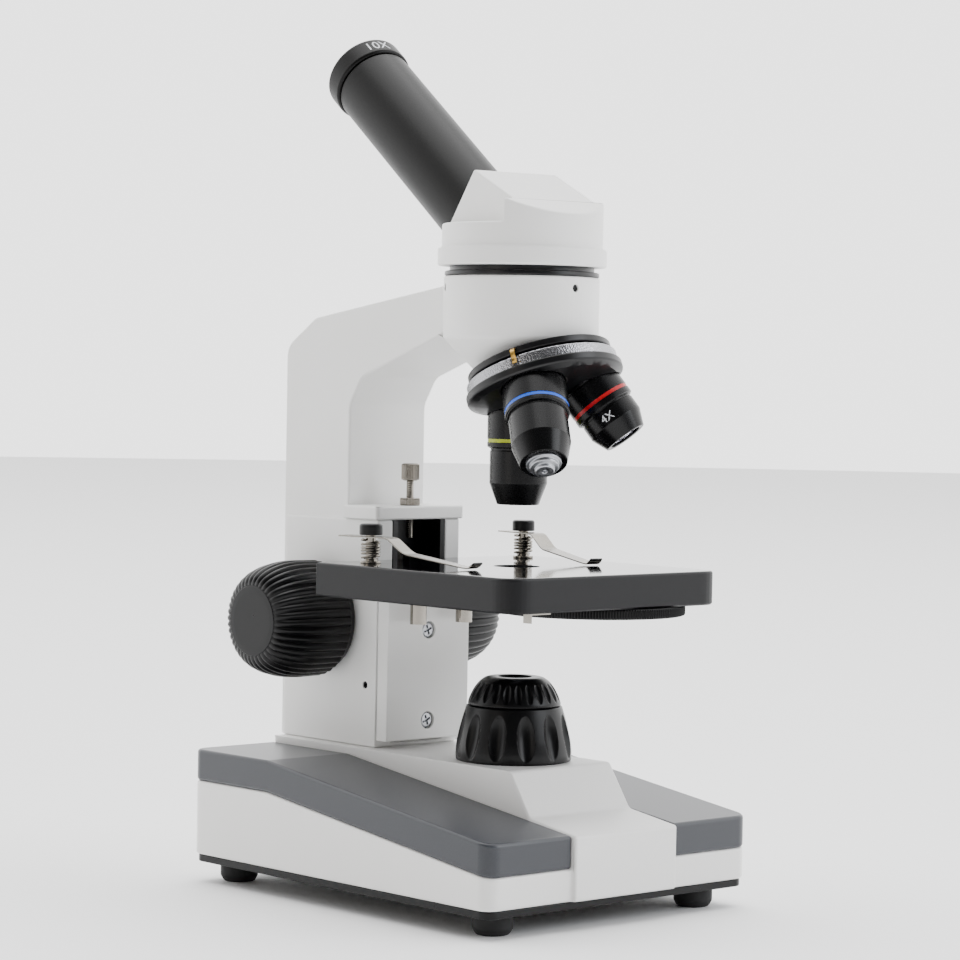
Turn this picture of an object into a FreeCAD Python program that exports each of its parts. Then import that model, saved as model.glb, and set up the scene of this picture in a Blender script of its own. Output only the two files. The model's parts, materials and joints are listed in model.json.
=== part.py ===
import FreeCAD, Part
import math
import os

import Sketcher
from FreeCAD import Placement, Rotation, Vector

# Monocular student microscope. Millimetres, +Z up, front towards -Y, the focus
# shaft along X. The origin is under the middle of the object's outline, on the
# surface that it stands on. "axis_back" places the optical axis behind it.

# ---------------------------------------------------------------- driving sizes
SIZES = [
    # base
    ("base_half", 68.2, "half width of the base"),
    ("base_front", 61.4, "optical axis to the front edge of the side trims"),
    ("base_rear", 115.2, "optical axis to the rear edge of the base"),
    ("spine_half", 26.5, "half width of the raised centre spine"),
    ("spine_front", 63.3, "optical axis to the front face of the spine"),
    ("spine_top", 55.5, "height of the spine's flat top"),
    ("spine_step", 39.0, "height at the foot of the spine's front slope"),
    ("spine_nose", 35.2, "height of the spine at its front face"),
    ("foot_high", 8.0, "height of a rubber foot"),
    ("plate_thick", 3.0, "thickness of the bottom plate"),
    ("tray_front", 23.0, "height of the white tray at its front edge"),
    ("tray_rear", 40.4, "height of the white tray behind the knee"),
    ("trim_thick", 12.4, "height of the grey side trims"),
    ("knee_back", 67.5, "optical axis to the knee where the slope ends"),
    ("shell_wall", 3.0, "wall of the base shell"),
    ("foot_side", 52.4, "foot centre from the middle plane"),
    ("foot_fore", 47.0, "optical axis to the front feet"),
    ("foot_back", 103.6, "optical axis to the rear feet"),
    ("foot_radius", 7.5, "radius of a foot at the plate"),
    # column and arm
    ("column_half", 20.0, "half width of the column and arm"),
    ("column_back", 119.0, "optical axis to the back of the column"),
    ("grip_front", 78.0, "optical axis to the front of the upper column"),
    ("housing_front", 57.6, "optical axis to the front of the focus housing"),
    ("housing_back", 116.0, "optical axis to the back of the focus housing"),
    ("housing_top", 145.7, "height of the top of the focus housing"),
    ("arm_shoulder", 214.0, "height where the column turns into the arm"),
    ("shoulder_reach", 101.0, "optical axis to the start of the arm's top slope"),
    ("shoulder_top", 225.6, "height at the start of the arm's top slope"),
    ("arm_tip_top", 238.0, "height of the arm's top at the head"),
    ("arm_inner", 191.0, "height of the inner corner under the arm"),
    ("arm_tip_low", 219.5, "height of the arm's underside at the head"),
    ("neck_radius", 30.0, "radius of the nosepiece housing"),
    ("neck_low", 217.7, "height where the housing starts to taper"),
    ("neck_top", 241.5, "height of the housing's top face"),
    ("neck_bore", 25.0, "radius of the bore that takes the head ring"),
    ("light_bore", 9.0, "radius of the light path"),
    ("stop_thick", 5.3, "thickness of the stop plate"),
    ("stop_back", 63.6, "optical axis to the stop screw"),
    ("stop_reach", 7.7, "length of the stop screw below its plate"),
    # focus drive
    ("housing_half", 21.6, "half width of the focus housing"),
    ("rail_half", 13.6, "half width of the black guide rail"),
    ("rail_wall", 2.4, "thickness of the rail's cheeks"),
    ("rail_floor", 69.6, "optical axis to the rail's inner back wall"),
    ("rail_back", 73.2, "optical axis to the rail's back face"),
    ("web_half", 5.2, "half width of the rack's web"),
    ("rack_half", 8.0, "half width of the rack's head"),
    ("slide_gap", 0.1, "gap on each side of a sliding piece"),
    ("carriage_half", 21.4, "half width of the carriage"),
    ("carriage_front", 50.7, "optical axis to the carriage's front face"),
    ("carriage_low", 58.5, "height of the carriage's lower end at rest"),
    ("pinion_back", 89.6, "optical axis to the focus shaft"),
    ("pinion_high", 105.2, "height of the focus shaft"),
    ("pinion_pitch", 6.4, "pitch radius of the pinion"),
    ("tooth_module", 0.8, "tooth module of rack and pinion"),
    ("shaft_radius", 4.0, "radius of the focus shaft"),
    ("bush_radius", 6.5, "outer radius of the shaft bushes"),
    ("run_gap", 0.05, "radial gap of a running fit"),
    ("knob_radius", 23.4, "radius of a focus knob"),
    ("knob_end", 14.1, "radius of the knob's outer disc"),
    ("knob_long", 37.0, "length of a knob"),
    ("knob_gap", 1.5, "gap between the column and a knob"),
    ("travel_up", 18.0, "stage travel above its rest height"),
    ("travel_down", 2.0, "stage travel below its rest height"),
    # stage
    ("stage_half", 54.9, "half width of the stage"),
    ("stage_front", 57.0, "optical axis to the front edge of the stage"),
    ("stage_back", 55.2, "optical axis to the back edge of the stage"),
    ("stage_rim", 4.0, "width of the stage's downturned rim"),
    ("stage_top", 130.2, "height of the stage surface at rest"),
    ("stage_thick", 13.0, "height of the stage's rim"),
    ("stage_skin", 4.0, "thickness of the stage's top"),
    ("stage_corner", 10.0, "radius of the stage's front corners"),
    ("stage_bore", 9.0, "radius of the hole in the stage"),
    ("post_side", 40.2, "clip post from the middle plane"),
    ("post_back", 39.8, "optical axis to the clip posts"),
    ("post_radius", 2.0, "radius of a clip post"),
    ("leaf_rise", 10.0, "height of a clip leaf above the stage"),
    ("leaf_thick", 0.6, "thickness of a clip leaf"),
    ("disc_side", 18.5, "diaphragm pivot from the middle plane"),
    ("disc_fore", 22.5, "optical axis to the diaphragm pivot"),
    ("disc_radius", 35.5, "radius of the disc diaphragm"),
    ("disc_thick", 3.9, "thickness of the disc diaphragm"),
    # illuminator
    ("lamp_radius", 22.35, "radius of the lamp housing's foot"),
    ("lamp_seam", 76.6, "height of the seam between lamp housing and cap"),
    ("lamp_top", 87.7, "height of the lamp cap"),
    ("lamp_waist", 18.5, "radius at the seam"),
    ("lamp_mouth", 6.3, "radius of the lamp's opening"),
    # nosepiece and objectives
    ("apex_high", 235.0, "height where the objective axes meet"),
    ("turret_tilt", 22.0, "tilt of the turret axis, degrees"),
    ("flange_reach", 27.6, "apex to the top of the fixed flange"),
    ("flange_radius", 28.0, "radius of the fixed flange"),
    ("ring_radius", 29.4, "radius of the turret's bright ring"),
    ("dome_radius", 30.6, "radius of the turret dome"),
    ("seat_reach", 43.5, "apex to an objective's shoulder"),
    ("collar_radius", 12.25, "radius of an objective's collar"),
    ("barrel_radius", 11.15, "radius of an objective's barrel"),
    ("thread_radius", 10.0, "radius of the objective thread"),
    # head, tube and eyepiece
    ("head_radius", 31.0, "radius of the head"),
    ("rim_radius", 32.5, "radius of the head's flange"),
    ("rim_low", 245.4, "height of the head's underside"),
    ("rim_top", 252.3, "height of the top of the flange"),
    ("ridge_high", 282.1, "height of the roof ridge"),
    ("ridge_back", 5.4, "optical axis to the roof ridge"),
    ("roof_slope", 25.3, "slope of the front facet, degrees"),
    ("flat_half", 20.0, "half distance between the side flats"),
    ("flat_low", 261.5, "height of the ledge below the side flats"),
    ("flat_front", 19.0, "optical axis to the front edge of the flats"),
    ("head_turn", -5.0, "turn of the head at rest, degrees"),
    ("tube_tilt", 53.4, "tube axis from the vertical, degrees"),
    ("tube_root", 246.5, "height where tube and optical axes meet"),
    ("tube_radius", 15.8, "outer radius of the eyepiece tube"),
    ("tube_start", 25.0, "tube axis: shoulder of the tube on the head"),
    ("spigot_radius", 11.8, "radius of the tube's threaded end"),
    ("spigot_long", 8.0, "length of the tube's threaded end"),
    ("tube_end", 125.0, "tube axis: end of the tube"),
    ("cap_long", 9.8, "length of the eyepiece cap"),
    ("cap_radius", 16.7, "radius of the eyepiece cap"),
    ("barrel_fit", 11.6, "radius of the eyepiece barrel"),
    ("barrel_long", 32.0, "length of the eyepiece barrel in the tube"),
]


class Size(float):
    """A number that also carries the sheet formula it was worked out with."""

    def __new__(cls, number, text=None):
        made = float.__new__(cls, number)
        made.text = text if text else "%.6f" % number
        return made

    def _with(self, other, sign, number):
        right = other if isinstance(other, Size) else Size(other)
        return Size(number, "(%s %s %s)" % (self.text, sign, right.text))

    def __add__(self, other):
        return self._with(other, "+", float(self) + float(other))

    def __sub__(self, other):
        return self._with(other, "-", float(self) - float(other))

    def __mul__(self, other):
        return self._with(other, "*", float(self) * float(other))

    def __truediv__(self, other):
        return self._with(other, "/", float(self) / float(other))

    def __radd__(self, other):
        return Size(other) + self

    def __rsub__(self, other):
        return Size(other) - self

    def __rmul__(self, other):
        return Size(other) * self

    def __neg__(self):
        return Size(0.0) - self


doc = FreeCAD.newDocument("microscope")
sheet = doc.addObject("Spreadsheet::Sheet", "sizes")
for row, (alias, number, note) in enumerate(SIZES, start=1):
    sheet.set("A%d" % row, note)
    sheet.set("B%d" % row, str(number))
    sheet.setAlias("B%d" % row, alias)
doc.recompute()


class Sheet:
    """Reads a cell as a Size: S.base_half is the cell with that alias."""

    def __getattr__(self, alias):
        return Size(float(sheet.get(alias)), "sizes." + alias)


S = Sheet()
tilt = math.radians(S.turret_tilt)
axis_back = (S.spine_front - S.column_back) / 2
UPRIGHT = Rotation()
ON_AXIS = Vector(0, axis_back, 0)
APEX = Vector(0, axis_back, S.apex_high)
TURRET_AXIS = Vector(0, -math.sin(tilt), -math.cos(tilt))
TURRET = Placement(APEX, Rotation(Vector(1, 0, 0), -S.turret_tilt))
HEAD_TURN = Rotation(Vector(0, 0, 1), S.head_turn)
HEAD = Placement(ON_AXIS, HEAD_TURN)
TUBE_LEAN = Rotation(Vector(1, 0, 0), -S.tube_tilt)
TUBE = Placement(ON_AXIS + Vector(0, 0, S.tube_root), HEAD_TURN * TUBE_LEAN)
FLAT = 0.01
parts = []


# ------------------------------------------------------------------ small tools
def bind(thing, prop, length):
    """Set a property and tie it to the sheet."""
    setattr(thing, prop, float(length))
    if isinstance(length, Size):
        thing.setExpression(prop, length.text)


def new_body(label, place):
    body = doc.addObject("PartDesign::Body", label)
    body.Label = label
    body.Placement = place
    parts.append(body)
    return body


def at(x=0.0, y=0.0, z=0.0, turn=UPRIGHT):
    """A place measured from the foot of the optical axis."""
    return Placement(Vector(x, axis_back + y, z), turn)


def outline(body, plane, corners, offset=0.0):
    """A closed sketch through the corners, each tied to the sheet."""
    sketch = body.newObject("Sketcher::SketchObject", body.Name + "_sketch")
    support = [f for f in body.Origin.OriginFeatures if f.Role == plane][0]
    sketch.AttachmentSupport = [(support, "")]
    sketch.MapMode = "FlatFace"
    sketch.AttachmentOffset = Placement(Vector(0, 0, float(offset)), UPRIGHT)
    if isinstance(offset, Size):
        sketch.setExpression("AttachmentOffset.Base.z", offset.text)
    count = len(corners)
    for i, start in enumerate(corners):
        end = corners[(i + 1) % count]
        line = Part.LineSegment(Vector(start[0], start[1], 0), Vector(end[0], end[1], 0))
        sketch.addGeometry(line, False)
    for i in range(count):
        sketch.addConstraint(Sketcher.Constraint("Coincident", i, 2, (i + 1) % count, 1))
    for i, corner in enumerate(corners):
        for kind, length in zip(("DistanceX", "DistanceY"), corner):
            rule = Sketcher.Constraint(kind, -1, 1, i, 1, float(length))
            index = sketch.addConstraint(rule)
            if isinstance(length, Size):
                sketch.setExpression("Constraints[%d]" % index, length.text)
    return sketch


def turn_profile(label, place, corners):
    """A turned piece: corners are (radius, height) in its own frame."""
    body = new_body(label, place)
    spin = body.newObject("PartDesign::Revolution", label + "_spin")
    spin.Profile = outline(body, "XZ_Plane", corners)
    spin.ReferenceAxis = (spin.Profile[0], ["V_Axis"])
    spin.Angle = 360
    return body


def pad(body, plane, corners, length, offset=0.0, middle=False):
    """A prism on one of the body's planes."""
    feature = body.newObject("PartDesign::Pad", body.Name + "_pad")
    feature.Profile = outline(body, plane, corners, offset)
    bind(feature, "Length", length)
    feature.SideType = "Symmetric" if middle else "One side"
    return feature


def side_pocket(body, corners, width):
    """Cut a side view outline through the body, half to each side."""
    feature = body.newObject("PartDesign::Pocket", body.Name + "_pocket")
    feature.Profile = outline(body, "YZ_Plane", corners)
    bind(feature, "Length", width)
    feature.SideType = "Symmetric"
    return feature


def box(body, low, high, kind="Subtractive"):
    """Cut or add a box between two corners."""
    feature = body.newObject("PartDesign::%sBox" % kind, body.Name + "_box")
    for prop, a, b in zip(("Length", "Width", "Height"), low, high):
        bind(feature, prop, b - a)
    feature.Placement = Placement(Vector(*low), UPRIGHT)
    for prop, a in zip("xyz", low):
        if isinstance(a, Size):
            feature.setExpression("Placement.Base." + prop, a.text)
    return feature


def rod(body, radius, length, place, kind="Subtractive"):
    """Cut or add a cylinder that starts at a place and runs along its Z."""
    feature = body.newObject("PartDesign::%sCylinder" % kind, body.Name + "_rod")
    bind(feature, "Radius", radius)
    bind(feature, "Height", length)
    feature.Placement = place
    return feature


def fillet(body, radius, chosen):
    """Round the edges that a test picks from the body as it stands."""
    doc.recompute()
    base = body.Tip
    names = ["Edge%d" % (i + 1) for i, e in enumerate(base.Shape.Edges) if chosen(e)]
    feature = body.newObject("PartDesign::Fillet", body.Name + "_fillet")
    feature.Base = (base, names)
    bind(feature, "Radius", radius)
    return feature


def upright(edge):
    """True for a straight edge along Z."""
    span = edge.BoundBox
    return span.XLength < FLAT and span.YLength < FLAT and span.ZLength > FLAT


def plain(label, place, shape):
    """A piece whose shape is worked out with Part's own functions."""
    feature = doc.addObject("Part::Feature", label)
    feature.Label = label
    feature.Shape = shape
    feature.Placement = place
    parts.append(feature)
    return feature


def turned_solid(corners):
    """A free solid of revolution for pieces that come in sets."""
    points = [Vector(r, 0, z) for r, z in corners]
    face = Part.Face(Part.makePolygon(points + points[:1]))
    return face.revolve(Vector(0, 0, 0), Vector(0, 0, 1), 360)


def copies(solid, places):
    """The same solid at several places, kept as separate solids."""
    made = []
    for place in places:
        one = solid.copy()
        one.Placement = place.multiply(solid.Placement)
        made.append(one)
    return Part.makeCompound(made)


def screw(head_radius, head_high, shank_radius, shank_long, slot=0.0):
    """A screw with its head up: the head's seat is at the origin."""
    body = turned_solid([(0, -shank_long), (shank_radius, -shank_long), (shank_radius, 0),
                         (head_radius, 0), (head_radius, head_high), (0, head_high)])
    if slot:
        for angle in (0, 90):
            cut = Part.makeBox(head_radius * 1.2, slot, head_high * 0.5)
            cut.translate(Vector(-head_radius * 0.6, -slot / 2, head_high * 0.5))
            cut.rotate(Vector(0, 0, 0), Vector(0, 0, 1), angle)
            body = body.cut(cut)
    return body


# ------------------------------------------------------------------------- base
tray_low = S.foot_high + S.plate_thick
foot_spots = [(side * S.foot_side, along) for side in (-1, 1)
              for along in (-S.foot_fore, S.foot_back)]
SCREW_SHANK = 1.6
SCREW_HEAD = 3.4
SCREW_HEAD_HIGH = 1.8


def make_base_shell():
    body = new_body("base_shell", at())
    tray = [(-S.base_front, tray_low), (S.base_rear, tray_low), (S.base_rear, S.tray_rear),
            (S.knee_back, S.tray_rear), (-S.base_front, S.tray_front)]
    pad(body, "YZ_Plane", tray, S.base_half * 2, middle=True)
    slope_foot = -38.0
    slope_top = -26.5
    spine = [(-S.spine_front, tray_low), (S.base_rear, tray_low), (S.base_rear, S.spine_top),
             (slope_top, S.spine_top), (slope_foot, S.spine_step),
             (-S.spine_front, S.spine_nose)]
    pad(body, "YZ_Plane", spine, S.spine_half * 2, middle=True)
    fillet(body, 6.0, lambda e: upright(e) and abs(abs(e.BoundBox.XMin) - S.base_half) < FLAT)
    wall = S.shell_wall
    inner_tray = [(-S.base_front + wall, tray_low - 1), (S.base_rear - wall, tray_low - 1),
                  (S.base_rear - wall, S.tray_rear - wall), (S.knee_back, S.tray_rear - wall),
                  (-S.base_front + wall, S.tray_front - wall)]
    side_pocket(body, inner_tray, (S.base_half - wall) * 2)
    inner_spine = [(slope_foot + wall, tray_low), (S.base_rear - wall, tray_low),
                   (S.base_rear - wall, S.spine_top - wall), (slope_top + wall, S.spine_top - wall),
                   (slope_foot + wall, S.spine_step - wall)]
    side_pocket(body, inner_spine, (S.spine_half - wall) * 2)
    for x, y in foot_spots:
        roof = S.tray_front if y < 0 else S.tray_rear
        rod(body, 4.5, roof - wall / 2 - tray_low, Placement(Vector(x, y, tray_low), UPRIGHT),
            "Additive")
        rod(body, SCREW_SHANK, 9.0, Placement(Vector(x, y, tray_low - 1), UPRIGHT))
    for x, y in bolt_spots:
        rod(body, BOLT_SHANK, 20.0, Placement(Vector(x, y, S.spine_top - 12), UPRIGHT))
    rod(body, SOCKET_RADIUS, 20.0, Placement(Vector(0, 0, S.spine_top - 12), UPRIGHT))
    box(body, (-SWITCH_HALF + SWITCH_SIDE, S.base_rear - wall - 1, SWITCH_HIGH - SWITCH_TALL),
        (SWITCH_HALF + SWITCH_SIDE, S.base_rear + 1, SWITCH_HIGH + SWITCH_TALL))
    rod(body, INLET_RADIUS, 8.0,
        Placement(Vector(-SWITCH_SIDE, S.base_rear + 1, SWITCH_HIGH), ACROSS))


BOLT_SHANK = 3.0
bolt_spots = ((-17.6, 65.0), (17.6, 65.0), (0.0, 106.0))
PIVOT_BOLT = 2.5
SOCKET_RADIUS = 7.0
SWITCH_HALF = 7.0
SWITCH_TALL = 5.0
SWITCH_SIDE = 12.0
SWITCH_HIGH = 27.0
PIN_DEEP = 4.0
PIN_RADIUS = 1.0
INLET_RADIUS = 4.5
ACROSS = Rotation(Vector(1, 0, 0), 90)
ALONG_X = Rotation(Vector(0, 1, 0), 90)


def make_trims():
    for label, side in (("base_trim_left", -1), ("base_trim_right", 1)):
        body = new_body(label, at())
        shape = [(-S.base_front, S.tray_front), (S.knee_back, S.tray_rear),
                 (S.base_rear, S.tray_rear), (S.base_rear, S.tray_rear + S.trim_thick),
                 (S.knee_back, S.tray_rear + S.trim_thick),
                 (-S.base_front, S.tray_front + S.trim_thick)]
        start = S.spine_half if side > 0 else -S.base_half
        pad(body, "YZ_Plane", shape, S.base_half - S.spine_half, offset=start)
        outer = side * S.base_half
        fillet(body, 6.0, lambda e: upright(e) and abs(e.BoundBox.XMin - outer) < FLAT)
        hollow = [(-S.base_front + 4, S.tray_front - 1), (S.knee_back, S.tray_rear - 1),
                  (S.base_rear - 4, S.tray_rear - 1), (S.base_rear - 4, S.tray_rear + 9),
                  (S.knee_back, S.tray_rear + 9), (-S.base_front + 4, S.tray_front + 9)]
        feature = body.newObject("PartDesign::Pocket", label + "_hollow")
        inner = S.spine_half + 4 if side > 0 else -S.base_half + 4
        feature.Profile = outline(body, "YZ_Plane", hollow, offset=inner)
        bind(feature, "Length", S.base_half - S.spine_half - 8)
        feature.Reversed = True


def make_bottom_plate():
    edge = 1.0
    body = new_body("bottom_plate", at(z=S.foot_high))
    half = S.base_half - edge
    pad(body, "XY_Plane", [(-half, -S.base_front + edge), (half, -S.base_front + edge),
                           (half, S.base_rear - edge), (-half, S.base_rear - edge)],
        S.plate_thick)
    fillet(body, 5.0, upright)
    for x, y in foot_spots:
        rod(body, SCREW_SHANK + 0.2, 10.0, Placement(Vector(x, y, -3), UPRIGHT))


def make_feet():
    well = 4.0
    taper = 1.0
    foot = turned_solid([(SCREW_SHANK + 0.2, well), (SCREW_HEAD + 0.6, well),
                         (SCREW_HEAD + 0.6, 0), (S.foot_radius - taper, 0),
                         (S.foot_radius, 1.5), (S.foot_radius, S.foot_high),
                         (SCREW_SHANK + 0.2, S.foot_high)])
    spots = [at(x, y) for x, y in foot_spots]
    plain("rubber_feet", Placement(), copies(foot, spots))
    fixing = screw(SCREW_HEAD, SCREW_HEAD_HIGH, SCREW_SHANK, S.foot_high - well + S.plate_thick + 7,
                   slot=0.8)
    down = Rotation(Vector(1, 0, 0), 180)
    plain("foot_screws", Placement(), copies(fixing, [at(x, y, well, down) for x, y in foot_spots]))


def make_power():
    rear = S.base_rear
    body = new_body("switch_frame", at(SWITCH_SIDE, 0, SWITCH_HIGH))
    lip = 1.5
    box(body, (-SWITCH_HALF - lip, rear, -SWITCH_TALL - lip),
        (SWITCH_HALF + lip, rear + 1.2, SWITCH_TALL + lip), "Additive")
    box(body, (Size(-SWITCH_HALF), rear - 12, Size(-SWITCH_TALL)),
        (Size(SWITCH_HALF), rear + 0.5, Size(SWITCH_TALL)), "Additive")
    box(body, (Size(-SWITCH_HALF + 1), rear - 8, Size(-SWITCH_TALL + 1)),
        (Size(SWITCH_HALF - 1), rear + 2, Size(SWITCH_TALL - 1)))
    pin_from = Placement(Vector(-SWITCH_HALF - 1, rear - PIN_DEEP, 0), ALONG_X)
    rod(body, Size(PIN_RADIUS + 0.1), Size(SWITCH_HALF * 2 + 2), pin_from)
    rocker = new_body("switch_rocker", at(SWITCH_SIDE, 0, SWITCH_HIGH))
    half = SWITCH_TALL - 1.5
    shape = [(rear - PIN_DEEP, Size(-half)), (rear + 0.2, Size(-half)), (rear - 0.6, Size(0.0)),
             (rear + 0.6, Size(half - 0.8)), (rear - PIN_DEEP, Size(half)), (rear - 7.5, Size(0.0))]
    pad(rocker, "YZ_Plane", shape, Size((SWITCH_HALF - 1.3) * 2), middle=True)
    pin_half = SWITCH_HALF - 0.3
    rod(rocker, Size(PIN_RADIUS), Size(pin_half * 2),
        Placement(Vector(-pin_half, rear - PIN_DEEP, 0), ALONG_X), "Additive")
    turn_profile("power_inlet", at(-SWITCH_SIDE, rear, SWITCH_HIGH, Rotation(Vector(1, 0, 0), -90)),
                 [(2.7, -8), (INLET_RADIUS, -8), (INLET_RADIUS, 0), (6.0, 0), (6.0, 1.2), (2.7, 1.2)])
    board = new_body("driver_board", at(0, 0, 0))
    box(board, (Size(-20.0), Size(20.0), S.spine_top - 24), (Size(20.0), Size(60.0), S.spine_top - 22),
        "Additive")
    for x in (-14.0, 14.0):
        post = Placement(Vector(x, 40, S.spine_top - 22), UPRIGHT)
        rod(board, 2.5, Size(22.0) - S.shell_wall, post, "Additive")


# ------------------------------------------------------------------ illuminator
LAMP_FLOOR = 0.8


def make_lamp():
    foot = S.spine_top
    wall = 2.5
    turn_profile("lamp_housing", at(z=0), [
        (SOCKET_RADIUS, foot), (S.lamp_radius, foot), (S.lamp_radius, foot + 4),
        (S.lamp_radius - 0.9, foot + 11), (S.lamp_waist, S.lamp_seam),
        (S.lamp_waist - wall, S.lamp_seam), (S.lamp_waist - wall, foot + 3),
        (SOCKET_RADIUS, foot + 3)])
    skirt = S.lamp_waist - wall - 0.3
    turn_profile("lamp_cap", at(z=0), [
        (skirt - 1.5, S.lamp_seam - 5), (skirt, S.lamp_seam - 5), (skirt, S.lamp_seam + 0.3),
        (S.lamp_waist - 0.3, S.lamp_seam + 0.3), (S.lamp_waist - 1.2, S.lamp_seam + 4),
        (Size(15.2), S.lamp_top - 3), (Size(11.0), S.lamp_top), (S.lamp_mouth, S.lamp_top),
        (S.lamp_mouth, S.lamp_top - 2.5), (Size(10.0), S.lamp_top - 2.5),
        (skirt - 1.5, S.lamp_seam + 2)])
    turn_profile("lamp_lens", at(z=0), [
        (Size(0.0), S.lamp_top - 4.5), (Size(9.0), S.lamp_top - 4.5),
        (Size(9.0), S.lamp_top - 2.5), (S.lamp_mouth - 0.1, S.lamp_top - 2.5),
        (S.lamp_mouth - 2.5, S.lamp_top - 1.2), (Size(0.0), S.lamp_top - 0.8)])
    turn_profile("lamp_socket", at(z=0), [
        (Size(3.1), foot - 12), (Size(SOCKET_RADIUS), foot - 12), (Size(SOCKET_RADIUS), foot + 3),
        (Size(8.5), foot + 3), (Size(8.5), foot + 6), (Size(3.1), foot + 6)])
    turn_profile("lamp_bulb", at(z=0), [
        (Size(0.0), foot - 4), (Size(3.1), foot - 4), (Size(3.1), foot + 9),
        (Size(4.2), foot + 12), (Size(3.4), foot + 16), (Size(1.2), foot + 18),
        (Size(0.0), foot + 18)])


# -------------------------------------------------------------- column and arm
def make_arm():
    body = new_body("arm", at())
    shape = [(S.housing_front, S.spine_top), (S.column_back, S.spine_top),
             (S.column_back, S.arm_shoulder), (S.shoulder_reach, S.shoulder_top),
             (S.neck_radius - 8, S.arm_tip_top), (S.neck_radius - 8, S.arm_tip_low),
             (S.grip_front - 7, S.arm_inner + 11), (S.grip_front, S.arm_inner),
             (S.grip_front, S.housing_top), (S.housing_front, S.housing_top)]
    pad(body, "YZ_Plane", shape, S.column_half * 2, middle=True)
    box(body, (-S.housing_half, S.housing_front, S.spine_top),
        (S.housing_half, S.housing_back, S.housing_top), "Additive")

    def shoulder(edge):
        mid = edge.BoundBox.Center
        across = edge.BoundBox.XLength > S.column_half
        back = mid.y > S.shoulder_reach - 5 and mid.z > S.arm_shoulder - 5
        under = abs(mid.y - S.grip_front) < 9 and abs(mid.z - S.arm_inner) < 14
        return across and (back or under)

    fillet(body, 8.0, shoulder)
    rod(body, S.neck_radius, S.neck_top - S.neck_low, Placement(Vector(0, 0, S.neck_low), UPRIGHT),
        "Additive")
    cone = body.newObject("PartDesign::AdditiveCone", "arm_cone")
    cone_deep = Size(22.0)
    bind(cone, "Radius1", S.neck_radius - cone_deep)
    bind(cone, "Radius2", S.neck_radius)
    bind(cone, "Height", cone_deep)
    cone.Placement = Placement(Vector(0, 0, S.neck_low - cone_deep), UPRIGHT)
    cone.setExpression("Placement.Base.z", (S.neck_low - cone_deep).text)
    down = Rotation(Vector(1, 0, 0), 180 - S.turret_tilt)
    seat = Vector(0, 0, S.apex_high) + TURRET_AXIS * float(S.flange_reach)
    rod(body, 60.0, Size(40.0), Placement(seat, down))
    rod(body, S.neck_bore, Size(9.0), Placement(Vector(0, 0, S.neck_top - 9), UPRIGHT))
    rod(body, S.light_bore + 2, Size(60.0), Placement(Vector(0, 0, S.neck_top - 60), UPRIGHT))
    slot = S.rail_half + FLAT
    top = S.housing_top + 1
    low = S.spine_top + 2
    box(body, (-slot, S.housing_front - 1, low), (slot, S.rail_back, top))
    deep = S.rack_half + 1
    box(body, (-deep, S.rail_back - 1, low), (deep, S.pinion_back + S.pinion_pitch + 2.5,
                                             S.housing_top - 4))
    bore = Vector(-S.housing_half - 1, S.pinion_back, S.pinion_high)
    rod(body, S.bush_radius, S.housing_half * 2 + 2, Placement(bore, ALONG_X))
    rod(body, Size(1.5), Size(5.0), Placement(Vector(-S.housing_half - 1, 64, 80), ALONG_X))
    for angle in SET_SCREW_ANGLES:
        out = Rotation(Vector(0, 0, 1), angle) * Rotation(Vector(0, 1, 0), 90)
        rod(body, SET_RADIUS, S.neck_radius + 1, Placement(Vector(0, 0, SET_HIGH), out))
    for x, y in bolt_spots:
        rod(body, BOLT_SHANK, Size(14.0), Placement(Vector(x, y, S.spine_top - 1), UPRIGHT))
    rod(body, PIVOT_BOLT, Size(5.0), Placement(seat, Rotation(Vector(1, 0, 0), -S.turret_tilt)))


SET_RADIUS = 1.5
SET_SCREW_ANGLES = (-90, 30, 150)
SET_HIGH = 237.0


def make_arm_fixings():
    head_high = 4.0
    bolt = screw(5.0, head_high, BOLT_SHANK, S.shell_wall + 12, slot=1.2)
    down = Rotation(Vector(1, 0, 0), 180)
    under = S.spine_top - S.shell_wall
    plain("arm_bolts", Placement(), copies(bolt, [at(x, y, under, down) for x, y in bolt_spots]))
    grub = turned_solid([(0, 0), (SET_RADIUS, 0), (SET_RADIUS, 4.2), (0, 4.2)])
    spots = []
    for angle in SET_SCREW_ANGLES:
        out = Rotation(Vector(0, 0, 1), angle) * Rotation(Vector(0, 1, 0), 90)
        start = Rotation(Vector(0, 0, 1), angle).multVec(Vector(S.neck_bore + 0.05, 0, 0))
        spots.append(Placement(ON_AXIS + start + Vector(0, 0, SET_HIGH), out))
    plain("head_set_screws", Placement(), copies(grub, spots))


STOP_THREAD = 1.6


def make_stop():
    body = new_body("stop_plate", at())
    half = S.housing_half + 1.4
    corners = [(-half, S.housing_front - 1), (half, S.housing_front - 1),
               (half, S.grip_front), (-half, S.grip_front)]
    pad(body, "XY_Plane", corners, S.stop_thick, offset=S.housing_top)
    fillet(body, 1.5, lambda e: upright(e) and e.BoundBox.YMin < S.grip_front - 5)
    rod(body, STOP_THREAD, Size(12.0), Placement(Vector(0, S.stop_back, S.housing_top - 2), UPRIGHT))
    top = S.housing_top + S.stop_thick
    turn_profile("stop_lock_nut", at(0, S.stop_back), [
        (Size(STOP_THREAD), top), (Size(4.0), top), (Size(4.0), top + 3), (Size(STOP_THREAD), top + 3)])


def make_stop_screw():
    thread = Size(STOP_THREAD - 0.05)
    head = Size(3.6)
    neck = S.housing_top + S.stop_thick + 9.9
    turn_profile("stop_screw", at(0, S.stop_back), [
        (Size(0.0), stop_tip), (thread, stop_tip), (thread, neck), (head, neck), (head, neck + 7.0),
        (Size(0.0), neck + 7.0)])


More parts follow.
